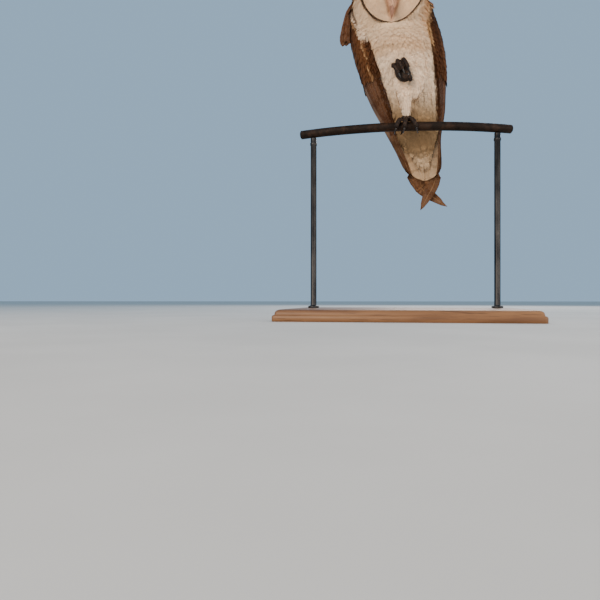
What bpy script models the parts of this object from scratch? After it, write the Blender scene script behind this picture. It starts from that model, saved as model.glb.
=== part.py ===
"""Barn owl on a cut length of curved rod, held by a plain display stand.

Life size, in metres, +Z up.  The owl faces -Y, so its right side is -X.  The origin is
the middle of the base's underside.  The owl's own heights are measured from the top of
the perch at the gripping foot, which is where the "owl" empty stands.
"""
import math

import bmesh
import bpy
import numpy as np
from mathutils import Matrix, Vector

for old in list(bpy.data.objects):
    bpy.data.objects.remove(old, do_unlink=True)

# ---------------------------------------------------------------- driving dimensions
PERCH_TOP = 0.320          # height of the gripping foot above the floor
ROD_RADIUS = 0.0075        # perch rod
ROD_BEND = 0.50            # radius of the rod's level arc
ROD_APEX_X = -0.040        # where the arc is nearest the front
ROD_HALF_LENGTH = 0.170    # the cut length runs this far to each side

BASE_SIZE = (0.380, 0.260, 0.018)
POST_RADIUS = 0.005
POST_X = 0.150             # the two stand rods stand this far to each side

GAP = 0.0004               # clearance between neighbouring pieces
WING_CLEARANCE = 0.0010    # clearance under the folded wing, over its chords

HEAD_PITCH = math.radians(36)   # the face looks this far below level
HEAD_ROLL = math.radians(4)     # and leans this far to the owl's right
CHIN = Vector((-0.019, -0.047, 0.142))
DISC_RADIUS = 0.046
DISC_DEPTH = 0.016
HEAD_HALF_WIDTH = 0.0555
HEAD_HALF_HEIGHT = 0.0525
HEAD_LENGTH = 0.080        # from the back of the disc to the back of the head
# Head width along its length, from the back of the disc to the back of the skull.
HEAD_PROFILE = {0.0: 0.94, 0.12: 0.985, 0.28: 1.0, 0.5: 0.955, 0.7: 0.82, 0.85: 0.62, 1.0: 0.20}
HEAD_STATIONS = (0.0, 0.10, 0.24, 0.40, 0.56, 0.71, 0.84, 0.93, 0.985, 1.0)
HEAD_START = 1.10           # the head starts this much wider than the disc's outline
HEAD_BLEND = 0.30           # and takes on its own oval over this part of its length
DISC_STATIONS = (0.08, 0.28, 0.46, 0.64, 0.84, 1.0)
DISC_BACK = 1.03            # the disc's flat back against its rim
DISC_NOTCH = (0.0085, 0.30)       # depth and angular half width of the notch at the top
DISC_LOBES = 0.0012               # swelling of the two upper lobes
BOWL = (0.0085, 0.0200, 0.0040, 0.0160, 0.0240)   # depth, place across and up, half sizes
RIDGE = (0.0075, 0.0062, 0.060)   # height, half width and fading length of the middle ridge
RIDGE_FOOT = (0.026, 0.004)       # how far below the middle it ends, and how softly
RIM_RISE = (0.0022, 0.75)         # height of the rim and where it starts
DISC_SINK = 0.0022                # the whole face lies this far behind the rim's plane
EYE_RADIUS = 0.0088
EYE_PLACE = (0.0190, 0.0060, -0.0165)   # across, up and forward of the disc's middle

# Bill: paths in the face's frame (across, up, forward) and radii along them.
UPPER_BILL_PATH = ((0, -0.010, 0.001), (0, -0.020, 0.0090), (0, -0.031, 0.0130),
                   (0, -0.0405, 0.0105))
UPPER_BILL_SIZES = (0.0052, 0.0050, 0.0046, 0.0040, 0.0034, 0.0026, 0.0017, 0.0006)
UPPER_BILL_DEEP = 1.15      # depth of a section against its width
LOWER_BILL_PATH = ((0, -0.026, -0.001), (0, -0.031, 0.0045), (0, -0.0345, 0.0070))
LOWER_BILL_SIZES = (0.0036, 0.0032, 0.0026, 0.0018, 0.0007)
LOWER_BILL_DEEP = 0.70
HORN_GAP = 0.0003           # clearance round horn and claws

# Standing leg: path from the belly to the heel and on to the perch, with radii.
THIGH_TOP = Vector((-0.0045, -0.0120, 0.0920))
KNEE = Vector((-0.0035, -0.0160, 0.0740))
HEEL = Vector((-0.0018, -0.0182, 0.0545))
HEEL_STRAIGHT = 0.0060      # the shank leaves the heel straight for this far
SHANK_PATH = ((0.0004, -0.0170, 0.0400), (0.0026, -0.0098, 0.0260), (0.0042, -0.0030, 0.0125))
THIGH_SIZES = (0.0160, 0.0160, 0.0142)
SHANK_SIZES = (0.0142, 0.0138, 0.0130, 0.0103, 0.0070)

# Gripping foot: pad, and toes with their place across at the root and at the end, and
# the way they wrap (1 is over the front, -1 over the back).
PAD_PLACE = (0.0040, 0.0008, 0.0056)
PAD_HALF = (0.0100, 0.0080, 0.0050)
GRIP_TOES = {
    "inner": (0.0120, 0.0195, 1),
    "middle": (0.0025, 0.0010, 1),
    "outer": (-0.0060, -0.0125, 1),
    "hind": (0.0040, -0.0030, -1),
}
TOE_RADIUS = 0.0040
TOE_TAPER = 0.22            # part of the radius lost by the toe's end
KNUCKLE = 1.10              # swelling of the toe at its joints
TOE_LIFT = 1.12             # middle of a toe above the rod, in toe radii
TOE_SPREAD = 0.8            # power of the toe's drift across
TOE_START = math.radians(42)    # turn about the rod where a toe starts
TALON_START = math.radians(112)
WRAP = math.radians(66)         # turn that a toe, and then its talon, goes round
TALON_RADIUS = 0.0021
TALON_TAPER = 0.85
TALON_CLOSE = 0.0004        # the talon's point comes this much nearer the rod
TALON_DRIFT = 0.003         # and this far across

# Tucked left foot: its place and turn, the feathered leg over it, and the clenched toes
# with their place across and their lift.
FIST_PLACE = (-0.0020, -0.0440, 0.0640)
FIST_TURN = (math.radians(-18), math.radians(-26), 0.0)
SLEEVE_PLACE = (0.0170, -0.0175, 0.0580)
SLEEVE_HALF = (0.0170, 0.0180, 0.0270)
FIST_PAD_PLACE = (0.0, 0.0040, 0.0005)
FIST_PAD_HALF = (0.0120, 0.0090, 0.0165)
FIST_TOES = {"inner": (-0.0086, 0.0), "middle": (0.0, 0.003), "outer": (0.0086, 0.0),
             "hind": (0.0043, 0.0)}
CURL = (math.radians(100), math.radians(-160))    # where a clenched toe starts, and its turn
CURL_MIDDLE = (-0.0060, 0.0035)                   # depth and height of the curl's middle
CURL_HALF = (0.0062, 0.0105)                      # and its half sizes
HIND_CURL = (math.radians(190), math.radians(140))    # the hind toe curls up to meet them
HIND_MIDDLE = (-0.0015, -0.0125)
HIND_HALF = (0.0062, 0.0068)
CURL_STEPS = 5              # lengths along a clenched toe, which has six sides
CURL_CLOSE = 0.06           # the toes close together by this part
CURL_TAPER = 0.18
CURL_RADIUS = 0.0039
FIST_TALON = (0.94, 0.34)   # where a talon leaves its toe's curl, and how far it carries it on
TALON_STRETCH = 0.60        # the front talons hang lower than the curl by this part
FIST_TALON_SIZES = (0.0019, 0.00152, 0.00114, 0.00076, 0.00038)

SEGMENTS = 24              # round the trunk, neck and head
WING_SAMPLES = 10          # across a folded wing

# The body in level sections, by height above the perch: middle of the section across,
# half width, front, widest depth and back.  Wings add to these.
BODY = {
    0.228: (-0.0225, 0.0450, -0.028, -0.006, 0.015),
    0.205: (-0.0230, 0.0605, -0.036, 0.002, 0.032),
    0.190: (-0.0225, 0.0630, -0.041, 0.003, 0.040),
    0.165: (-0.0190, 0.0630, -0.044, 0.004, 0.050),
    0.141: (-0.0150, 0.0640, -0.049, 0.004, 0.058),
    0.112: (-0.0088, 0.0632, -0.055, 0.004, 0.066),
    0.082: (-0.0025, 0.0605, -0.044, 0.012, 0.072),
    0.051: (0.0035, 0.0550, -0.020, 0.026, 0.077),
    0.020: (0.0120, 0.0470, 0.004, 0.041, 0.081),
    -0.008: (0.0200, 0.0370, 0.022, 0.054, 0.083),
    -0.028: (0.0275, 0.0315, 0.038, 0.065, 0.085),
    -0.052: (0.0335, 0.0265, 0.060, 0.074, 0.088),
    -0.079: (0.0360, 0.0190, 0.079, 0.083, 0.091),
}
NECK_TOP = 0.228
NECK_DOME = 0.009           # height of the rounded top above that
NECK_DOME_TURN = 0.62       # the dome's rings close in by the cosine of this turn each
TRUNK_TOP = 0.150
BELLY_END = 0.020           # full sections above this, half sections before the tail below
TAIL_TOP = 0.010
TAIL_BULGE = 0.0018         # how far the tail's underside swells forward
UNDERTAIL_GAP = 0.0012      # between the undertail feathers and the tail
UNDERTAIL_TAPER = 2.6       # power of the undertail's narrowing
UNDERTAIL_POINT = 0.10      # least size of an undertail section
TRUNK_TIP = -0.052
TAIL_TIP = -0.079
TAIL_ROUND_FROM = 0.86      # part of the tail's length where its tip starts to narrow
TAIL_ROUND_BY = 0.35        # and how much it has narrowed at the end

# Folded wings, by height: thickness at the side, and how far round to the front the
# leading edge comes, as a part of the half width.
WING_RIGHT = {
    0.190: (0.0015, 0.96),
    0.165: (0.0055, 0.91),
    0.141: (0.0090, 0.74),
    0.112: (0.0100, 0.71),
    0.082: (0.0100, 0.67),
    0.051: (0.0095, 0.60),
    0.020: (0.0090, 0.66),
    -0.008: (0.0110, 0.88),
    -0.028: (0.0120, 0.97),
    -0.052: (0.0100, 0.97),
    -0.079: (0.0060, 0.97),
}
WING_LEFT = {
    0.190: (0.0015, 0.96),
    0.165: (0.0055, 0.92),
    0.141: (0.0085, 0.79),
    0.112: (0.0095, 0.81),
    0.082: (0.0100, 0.84),
    0.051: (0.0095, 0.92),
    0.020: (0.0090, 0.92),
    -0.008: (0.0050, 0.97),
    -0.028: (0.0035, 0.97),
    -0.052: (0.0040, 0.97),
    -0.079: (0.0055, 0.97),
}
WING_TOP = 0.190
COVERT_END = 0.076
SECONDARY_END = -0.020
SCAPULAR_SPLIT = math.radians(142)   # coverts end and scapulars start here at the back
SCAPULAR_SEAM = 0.025       # turn left clear between coverts and scapulars
SCAPULAR_TOP = 0.176
SCAPULAR_END = 0.080
SCAPULAR_SWELL = 0.90       # thickness of the scapulars against the wing's own
WING_BACK = math.radians(179)
EDGE_BLUNT = 0.30           # thickness of the leading edge, as a part of the wing's own
EDGE_WIDTH = 0.22           # part of the way round where the full thickness is reached
BACK_THIN = 0.55            # how much the wing thins towards the back
BACK_FROM = 0.45            # part of the way round where it starts to thin
VANE_LEAST = 0.0009         # least thickness of a folded wing
LENS_LEAST = 0.02           # keeps the lens section's edge from closing to nothing

# Raised shoulder feathers of the right side, by height: outer edge, inner edge, depth and
# half thickness.
RAISED = {
    0.2140: (-0.0935, -0.0640, 0.0200, 0.00294),
    0.1994: (-0.0978, -0.0648, 0.0208, 0.00425),
    0.1848: (-0.1017, -0.0656, 0.0216, 0.00493),
    0.1702: (-0.1048, -0.0664, 0.0224, 0.00487),
    0.1556: (-0.1068, -0.0672, 0.0232, 0.00408),
    0.1410: (-0.1075, -0.0680, 0.0240, 0.00268),
}

# Wing tips past the tail, by height: middle across and in depth, half width and half
# thickness of a lens section.  The right wing crosses behind the left one.
TIP_RIGHT = {
    -0.083: (0.0245, 0.0990, 0.0105, 0.0019),
    -0.089: (0.0305, 0.1025, 0.0125, 0.0019),
    -0.096: (0.0415, 0.1045, 0.0120, 0.0018),
    -0.106: (0.0565, 0.1065, 0.0110, 0.0015),
    -0.116: (0.0700, 0.1080, 0.0085, 0.0011),
    -0.122: (0.0785, 0.1090, 0.0030, 0.0006),
}
TIP_LEFT = {
    -0.085: (0.0510, 0.0955, 0.0110, 0.0016),
    -0.096: (0.0430, 0.0975, 0.0105, 0.0016),
    -0.107: (0.0370, 0.1000, 0.0092, 0.0014),
    -0.120: (0.0308, 0.1015, 0.0072, 0.0011),
    -0.128: (0.0275, 0.1025, 0.0030, 0.0006),
}

# ---------------------------------------------------------------- scene helpers
parts = bpy.data.collections.new("barn_owl")
cutters = bpy.data.collections.new("cutters")
bpy.context.scene.collection.children.link(parts)
bpy.context.scene.collection.children.link(cutters)

owl = bpy.data.objects.new("owl", None)
owl.location = (0.0, 0.0, PERCH_TOP)
parts.objects.link(owl)


def material(name, colour, roughness, metallic=0.0):
    """A plain Principled material."""
    made = bpy.data.materials.get(name) or bpy.data.materials.new(name)
    made.use_nodes = True
    shader = made.node_tree.nodes["Principled BSDF"]
    shader.inputs["Base Color"].default_value = (*colour, 1.0)
    shader.inputs["Roughness"].default_value = roughness
    shader.inputs["Metallic"].default_value = metallic
    return made


WHITE_FEATHER = material("white_feather", (0.70, 0.60, 0.48), 0.85)
FACE_FEATHER = material("face_feather", (0.66, 0.54, 0.40), 0.85)
GOLD_FEATHER = material("gold_feather", (0.42, 0.27, 0.14), 0.80)
BROWN_FEATHER = material("brown_feather", (0.17, 0.09, 0.045), 0.75)
TAIL_FEATHER = material("tail_feather", (0.55, 0.43, 0.29), 0.80)
TOE_SKIN = material("toe_skin", (0.075, 0.050, 0.035), 0.60)
HORN = material("horn", (0.45, 0.29, 0.23), 0.35)
CLAW = material("claw", (0.030, 0.024, 0.020), 0.30)
EYE = material("eye", (0.010, 0.007, 0.006), 0.05)
RUSTY_STEEL = material("rusty_steel", (0.060, 0.040, 0.028), 0.60, 0.60)
STAND_STEEL = material("stand_steel", (0.050, 0.050, 0.052), 0.45, 0.70)
STAND_WOOD = material("stand_wood", (0.34, 0.25, 0.17), 0.50)


def add_object(name, mesh, look, parent=owl):
    """Link a mesh to the model under its parent, in the owl's own frame."""
    made = bpy.data.objects.new(name, mesh)
    made.parent = parent
    mesh.materials.clear()
    mesh.materials.append(look)
    mesh.shade_smooth()
    mesh.set_sharp_from_angle(angle=math.radians(50))
    parts.objects.link(made)
    return made


def loft(name, rings, look, parent=owl):
    """Skin closed rings of equal length, capped at both ends, faces outward."""
    work = bmesh.new()
    rows = [[work.verts.new(point) for point in ring] for ring in rings]
    count = len(rows[0])
    for lower, upper in zip(rows, rows[1:]):
        for i in range(count):
            j = (i + 1) % count
            work.faces.new((lower[i], lower[j], upper[j], upper[i]))
    work.faces.new(rows[0][::-1])
    work.faces.new(rows[-1])
    bmesh.ops.recalc_face_normals(work, faces=work.faces)
    bmesh.ops.triangulate(work, faces=work.faces)
    mesh = bpy.data.meshes.new(name)
    work.to_mesh(mesh)
    work.free()
    return add_object(name, mesh, look, parent)


def smooth_path(table, value):
    """Read a table of stations at a value, along a smooth curve through them."""
    keys = sorted(table)
    rows = np.array([np.atleast_1d(table[key]) for key in keys], float)
    slopes = np.gradient(rows, np.array(keys), axis=0)
    value = min(max(value, keys[0]), keys[-1])
    i = min(int(np.searchsorted(keys, value, side="right")) - 1, len(keys) - 2)
    span = keys[i + 1] - keys[i]
    t = (value - keys[i]) / span
    start = (2 * t**3 - 3 * t**2 + 1) * rows[i] + (t**3 - 2 * t**2 + t) * span * slopes[i]
    end = (3 * t**2 - 2 * t**3) * rows[i + 1] + (t**3 - t**2) * span * slopes[i + 1]
    return start + end


def steps(first, last, count):
    """Evenly spaced values from first to last."""
    return [first + (last - first) * k / (count - 1) for k in range(count)]


def tube(name, path, radii, look, sides=10, flatten=1.0, parent=owl):
    """A round tapered limb on a path that runs mostly up or back; flatten squeezes its depth."""
    rings = []
    for k, point in enumerate(path):
        before = path[max(k - 1, 0)]
        after = path[min(k + 1, len(path) - 1)]
        along = (Vector(after) - Vector(before)).normalized()
        across = Vector((1, 0, 0)) - along * along.x
        across.normalize()
        deep = across.cross(along).normalized()
        ring = []
        for step in range(sides):
            turn = 2 * math.pi * step / sides
            offset = across * math.cos(turn) + deep * math.sin(turn) * flatten
            ring.append(Vector(point) + offset * radii[k])
        rings.append(ring)
    return loft(name, rings, look, parent)


def egg(name, middle, half, look, parent=owl, rows=7):
    """An ellipsoid from a sphere primitive with its scale applied."""
    work = bmesh.new()
    bmesh.ops.create_uvsphere(work, u_segments=12, v_segments=rows, radius=1.0)
    bmesh.ops.scale(work, vec=half, verts=work.verts)
    mesh = bpy.data.meshes.new(name)
    work.to_mesh(mesh)
    work.free()
    made = add_object(name, mesh, look, parent)
    made.location = middle
    return made


def carve(target, piece, gap=GAP):
    """Cut the place of one piece, grown by the gap, out of another."""
    bpy.context.view_layer.update()
    graph = bpy.context.evaluated_depsgraph_get()
    mesh = bpy.data.meshes.new_from_object(piece.evaluated_get(graph))
    work = bmesh.new()
    work.from_mesh(mesh)
    work.normal_update()
    shifts = [(vert, vert.normal * gap) for vert in work.verts]
    for vert, shift in shifts:
        vert.co += shift
    work.to_mesh(mesh)
    work.free()
    cutter = bpy.data.objects.new("cut_" + target.name + "_" + piece.name, mesh)
    cutter.matrix_world = piece.matrix_world.copy()
    cutter.hide_render = True
    cutter.display_type = "WIRE"
    cutters.objects.link(cutter)
    cut = target.modifiers.new("clear_" + piece.name, "BOOLEAN")
    cut.operation = "DIFFERENCE"
    cut.solver = "EXACT"
    cut.object = cutter


# ---------------------------------------------------------------- body sections
def body_point(height, angle, grow=0.0):
    """A point of the body's level section; angle 0 is the front, +90 deg the left side."""
    middle, half, front, deep, back = smooth_path(BODY, height)
    reach = deep - front if math.cos(angle) > 0 else back - deep
    outward = Vector((math.sin(angle) / half, -math.cos(angle) / reach, 0)).normalized()
    point = Vector((middle + half * math.sin(angle), deep - reach * math.cos(angle), height))
    return point + outward * grow


def section(height, squeeze=1.0, flat_back=False):
    """A full section ring; flat_back cuts it straight behind its widest line."""
    middle, _, _, deep, _ = smooth_path(BODY, height)
    if flat_back:
        deep -= TAIL_BULGE + UNDERTAIL_GAP
    ring = []
    for k in range(SEGMENTS):
        point = body_point(height, 2 * math.pi * (k + 0.5) / SEGMENTS)
        if flat_back:
            point.y = min(point.y, deep)
        point.x = middle + (point.x - middle) * squeeze
        point.y = deep + (point.y - deep) * squeeze
        ring.append(point)
    return ring


def build_trunk():
    """Breast, belly and undertail; the lowest part lies in front of the tail."""
    rings = [section(height) for height in steps(TRUNK_TOP, BELLY_END, 11)]
    for height in steps(TAIL_TOP + 0.0015, TRUNK_TIP, 6):
        drop = (TAIL_TOP - height) / (TAIL_TOP - TRUNK_TIP)
        squeeze = max(1.0 - max(drop, 0.0) ** UNDERTAIL_TAPER, UNDERTAIL_POINT)
        rings.append(section(height, squeeze, flat_back=True))
    return loft("trunk", rings, WHITE_FEATHER)


def build_neck():
    """Thick feathered neck, closed over as a dome that the head sits in."""
    rings = [section(height) for height in steps(TRUNK_TOP + GAP, NECK_TOP, 7)]
    for k in (1, 2):
        rings.append(section(NECK_TOP + NECK_DOME * k / 2, math.cos(k * NECK_DOME_TURN)))
    return loft("neck", rings, GOLD_FEATHER)


def build_tail():
    """The closed tail: flat below, arched above, with a rounded tip."""
    rings = []
    for height in steps(TAIL_TOP, TAIL_TIP, 8):
        middle, half, _, deep, back = smooth_path(BODY, height)
        tip = (TAIL_TOP - height) / (TAIL_TOP - TAIL_TIP)
        narrow = 1.0 - TAIL_ROUND_BY * max(tip - TAIL_ROUND_FROM, 0.0) / (1.0 - TAIL_ROUND_FROM)
        ring = []
        for k in range(12):
            turn = math.pi * k / 11
            rise = (back - deep - GAP) * math.sin(turn)
            ring.append((middle - (half - GAP) * narrow * math.cos(turn), deep + rise, height))
        for k in range(1, 7):
            turn = math.pi * k / 7
            across = middle + (half - GAP) * narrow * math.cos(turn)
            ring.append((across, deep - TAIL_BULGE * math.sin(turn), height))
        rings.append(ring)
    return loft("tail", rings, TAIL_FEATHER)


# ---------------------------------------------------------------- wings
def wing_ring(height, side, table, start, end, thick=1.0):
    """A crescent section hugging the body, from its leading edge round to the back."""
    side_thick, edge = smooth_path(table, height)
    if start is None:
        start = math.asin(min(edge, 0.98))
    outer, inner = [], []
    for k in range(WING_SAMPLES):
        u = k / (WING_SAMPLES - 1)
        angle = start + (end - start) * u
        ramp = math.sin(min(u / EDGE_WIDTH, 1.0) * math.pi / 2)
        blunt = EDGE_BLUNT + (1.0 - EDGE_BLUNT) * ramp
        thin = 1.0 - BACK_THIN * max(u - BACK_FROM, 0.0) / (1.0 - BACK_FROM)
        grow = WING_CLEARANCE + max(side_thick * blunt * thin * thick, VANE_LEAST)
        outer.append(body_point(height, side * angle, grow))
        inner.append(body_point(height, side * angle, WING_CLEARANCE))
    return outer + inner[::-1]


def lens_ring(height, side, station):
    """A flat lens section for the free wing tip."""
    middle, deep, half, thick = station
    outer, inner = [], []
    for k in range(WING_SAMPLES):
        across = -math.cos(math.pi * (k + 0.5) / WING_SAMPLES)
        bulge = thick * math.sqrt(max(1.0 - across**2, LENS_LEAST))
        outer.append((middle - side * half * across, deep + bulge, height))
        inner.append((middle - side * half * across, deep - bulge, height))
    return outer + inner[::-1]


def build_wing(side, word, table, tips):
    """Coverts, secondaries, primaries and scapulars of one folded wing."""
    coverts = []
    for height in steps(WING_TOP, COVERT_END, 9):
        coverts.append(wing_ring(height, side, table, None, SCAPULAR_SPLIT))
    made = [loft("wing_coverts_" + word, coverts, BROWN_FEATHER)]

    secondaries = []
    for height in steps(COVERT_END - GAP, SECONDARY_END, 7):
        secondaries.append(wing_ring(height, side, table, None, WING_BACK))
    made.append(loft("secondaries_" + word, secondaries, BROWN_FEATHER))

    primaries = []
    for height in steps(SECONDARY_END - GAP, TAIL_TIP, 6):
        primaries.append(wing_ring(height, side, table, None, WING_BACK))
    heights = sorted(tips, reverse=True)
    for height in steps(heights[0], heights[-1], 6):
        primaries.append(lens_ring(height, side, smooth_path(tips, height)))
    made.append(loft("primaries_" + word, primaries, BROWN_FEATHER))

    scapulars = []
    start = SCAPULAR_SPLIT + SCAPULAR_SEAM
    for height in steps(SCAPULAR_TOP, SCAPULAR_END, 7):
        down = (SCAPULAR_TOP - height) / (SCAPULAR_TOP - SCAPULAR_END)
        swell = SCAPULAR_SWELL * math.sin(math.pi * min(0.08 + down, 0.80))
        scapulars.append(wing_ring(height, side, table, start, WING_BACK, swell))
    made.append(loft("scapulars_" + word, scapulars, GOLD_FEATHER))
    return made


def build_raised_scapulars():
    """Shoulder feathers of the right side that stand out from the body."""
    rings = []
    for height in sorted(RAISED, reverse=True):
        outer, inner, deep, thick = RAISED[height]
        middle, half = (outer + inner) / 2, (inner - outer) / 2
        ring = []
        for step in range(8):
            turn = 2 * math.pi * step / 8
            ring.append(
                (middle + half * math.cos(turn), deep + thick * math.sin(turn), height)
            )
        rings.append(ring)
    return loft("scapulars_raised", rings, BROWN_FEATHER)


# ---------------------------------------------------------------- head
FACE = bpy.data.objects.new("face_frame", None)
FACE.parent = owl
parts.objects.link(FACE)


def place_face():
    """Stand the face's frame at the disc's middle: X left, Y up the face, Z forward."""
    forward = Vector((0.0, -math.cos(HEAD_PITCH), -math.sin(HEAD_PITCH)))
    up = Vector((0.0, -math.sin(HEAD_PITCH), math.cos(HEAD_PITCH)))
    up = Matrix.Rotation(-HEAD_ROLL, 3, forward) @ up
    across = up.cross(forward)
    turn = Matrix((across, up, forward)).transposed()
    FACE.location = CHIN + up * DISC_RADIUS
    FACE.rotation_euler = turn.to_euler()


def disc_reach(turn):
    """Radius of the heart-shaped disc outline; a quarter turn is the top."""
    notch = DISC_NOTCH[0] * math.exp(-(((turn - math.pi / 2) / DISC_NOTCH[1]) ** 2))
    return DISC_RADIUS + DISC_LOBES * max(math.sin(turn), 0.0) - notch


def disc_relief(x, y):
    """Height of the disc's face: two bowls, a ridge between them and a raised rim."""
    deep, aside, high, wide, tall = BOWL
    bowl = deep * math.exp(-(((abs(x) - aside) / wide) ** 2) - ((y - high) / tall) ** 2)
    fade = 1.0 / (1.0 + math.exp(-(y + RIDGE_FOOT[0]) / RIDGE_FOOT[1]))
    ridge = RIDGE[0] * math.exp(-((x / RIDGE[1]) ** 2)) * fade * (1.0 - max(y, 0.0) / RIDGE[2])
    rise = max(math.hypot(x, y) / DISC_RADIUS - RIM_RISE[1], 0.0) / (1.0 - RIM_RISE[1])
    return ridge + RIM_RISE[0] * rise - bowl - DISC_SINK


def build_disc():
    """The facial disc as a dished plate with a flat back."""
    rings = []
    for reach in DISC_STATIONS:
        ring = []
        for k in range(SEGMENTS):
            turn = 2 * math.pi * k / SEGMENTS
            x = disc_reach(turn) * reach * math.cos(turn)
            y = disc_reach(turn) * reach * math.sin(turn)
            ring.append((x, y, disc_relief(x, y)))
        rings.append(ring)
    back = []
    for k in range(SEGMENTS):
        turn = 2 * math.pi * k / SEGMENTS
        reach = disc_reach(turn) * DISC_BACK
        back.append((reach * math.cos(turn), reach * math.sin(turn), -DISC_DEPTH))
    rings.append(back)
    return loft("facial_disc", rings, FACE_FEATHER, FACE)


def build_head():
    """The head behind the disc, from the disc's outline to the rounded nape."""
    rings = []
    for part in HEAD_STATIONS:
        swell = float(smooth_path(HEAD_PROFILE, part)[0])
        blend = min(part / HEAD_BLEND, 1.0)
        ring = []
        for step in range(SEGMENTS):
            turn = 2 * math.pi * step / SEGMENTS
            start = disc_reach(turn) * HEAD_START
            end = 1.0 / math.hypot(
                math.cos(turn) / HEAD_HALF_WIDTH, math.sin(turn) / HEAD_HALF_HEIGHT
            )
            reach = (start * (1 - blend) + end * blend) * swell
            sink = -DISC_DEPTH - GAP - HEAD_LENGTH * part
            ring.append((reach * math.cos(turn), reach * math.sin(turn), sink))
        rings.append(ring)
    return loft("head", rings, GOLD_FEATHER, FACE)


def horn_path(points, count):
    """A smooth path through a few control points."""
    table = {float(k): tuple(point) for k, point in enumerate(points)}
    return [Vector(smooth_path(table, value)) for value in steps(0.0, len(points) - 1.0, count)]


def build_bill():
    """Upper and lower bill: slender, hooked down over the lower one."""
    upper = horn_path(UPPER_BILL_PATH, len(UPPER_BILL_SIZES))
    lower = horn_path(LOWER_BILL_PATH, len(LOWER_BILL_SIZES))
    top = tube("bill_upper", upper, UPPER_BILL_SIZES, HORN, 10, UPPER_BILL_DEEP, FACE)
    under = tube("bill_lower", lower, LOWER_BILL_SIZES, HORN, 8, LOWER_BILL_DEEP, FACE)
    carve(under, top, HORN_GAP)
    return top, under


def build_eyes():
    """Eyeballs set back in the bowls of the disc."""
    made = []
    for word, side in (("left", 1), ("right", -1)):
        place = (side * EYE_PLACE[0], EYE_PLACE[1], EYE_PLACE[2])
        made.append(egg("eye_" + word, place, (EYE_RADIUS,) * 3, EYE, FACE))
    return made


# ---------------------------------------------------------------- perch and stand
def rod_depth(across):
    """How far back the bent rod's middle lies at a place across."""
    def sag(x):
        return ROD_BEND - math.sqrt(ROD_BEND**2 - (x - ROD_APEX_X) ** 2)
    return sag(across) - sag(0.0)


def build_perch():
    """The cut length of curved round rod."""
    data = bpy.data.curves.new("perch_rod", "CURVE")
    data.dimensions = "3D"
    spline = data.splines.new("POLY")
    across = steps(-ROD_HALF_LENGTH, ROD_HALF_LENGTH, 16)
    spline.points.add(len(across) - 1)
    for point, x in zip(spline.points, across):
        point.co = (x, rod_depth(x), -ROD_RADIUS, 1.0)
    data.bevel_depth = ROD_RADIUS
    data.bevel_resolution = 3
    data.use_fill_caps = True
    data.materials.append(RUSTY_STEEL)
    made = bpy.data.objects.new("perch_rod", data)
    made.parent = owl
    parts.objects.link(made)
    return made


def build_stand():
    """A flat board with two upright rods that reach the perch's underside."""
    bpy.ops.mesh.primitive_cube_add(size=1.0, location=(0, 0, BASE_SIZE[2] / 2))
    base = bpy.context.object
    base.name = "stand_base"
    base.scale = BASE_SIZE
    bpy.ops.object.transform_apply(location=False, rotation=False, scale=True)
    base.data.materials.append(STAND_WOOD)
    edge = base.modifiers.new("edge", "BEVEL")
    edge.width = 0.002
    edge.segments = 2
    for group in list(base.users_collection):
        group.objects.unlink(base)
    parts.objects.link(base)

    top = PERCH_TOP - 2 * ROD_RADIUS - GAP
    bottom = BASE_SIZE[2] + GAP
    for word, x in (("right", -POST_X), ("left", POST_X)):
        work = bmesh.new()
        bmesh.ops.create_cone(
            work, cap_ends=True, segments=16, radius1=POST_RADIUS, radius2=POST_RADIUS,
            depth=top - bottom,
        )
        mesh = bpy.data.meshes.new("stand_rod_" + word)
        work.to_mesh(mesh)
        work.free()
        post = add_object("stand_rod_" + word, mesh, STAND_STEEL, None)
        post.location = (x, rod_depth(x), (top + bottom) / 2)


# ---------------------------------------------------------------- legs and feet
def build_standing_leg():
    """Feathered right leg: the thigh comes out of the belly and the shank drops to the perch."""
    along = (HEEL - KNEE).normalized()
    thigh = tube("thigh_right", (THIGH_TOP, KNEE, HEEL), THIGH_SIZES, WHITE_FEATHER, 12)
    path = [HEEL + along * GAP, HEEL + along * HEEL_STRAIGHT]
    path += [Vector(point) for point in SHANK_PATH]
    shank = tube("tarsus_right", path, SHANK_SIZES, WHITE_FEATHER, 12)
    return thigh, shank


def grip_point(across, turn, reach):
    """A point beside the rod: turn 0 is on top, a quarter turn is the front."""
    return Vector(
        (across, rod_depth(across) - reach * math.sin(turn), reach * math.cos(turn) - ROD_RADIUS)
    )


def build_gripping_foot():
    """The pad on the rod and four toes that wrap it, with their talons."""
    pad = egg("foot_right", PAD_PLACE, PAD_HALF, TOE_SKIN)
    top = ROD_RADIUS + TOE_RADIUS * TOE_LIFT + GAP
    made = []
    for word, (near, far, way) in GRIP_TOES.items():
        path, sizes = [], []
        for k in range(7):
            part = k / 6
            swell = KNUCKLE if k in (2, 5) else 1.0
            place = near + (far - near) * part**TOE_SPREAD
            path.append(grip_point(place, way * (TOE_START + WRAP * part), top))
            sizes.append(TOE_RADIUS * (1.0 - TOE_TAPER * part) * swell)
        toe = tube("toe_right_" + word, path, sizes, TOE_SKIN, 8)
        hook, points = [], []
        drift = TALON_DRIFT if far > near else -TALON_DRIFT
        for k in range(6):
            part = k / 5
            turn = way * (TALON_START + WRAP * part)
            hook.append(grip_point(far + drift * part, turn, top - TALON_CLOSE * part))
            points.append(TALON_RADIUS * (1.0 - TALON_TAPER * part))
        talon = tube("talon_right_" + word, hook, points, CLAW, 6)
        made.append((toe, talon))
        carve(toe, pad)
        carve(toe, talon, HORN_GAP)
    return pad, made


FIST = bpy.data.objects.new("fist_frame", None)
FIST.parent = owl
FIST.location = FIST_PLACE
FIST.rotation_euler = FIST_TURN
parts.objects.link(FIST)


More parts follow.
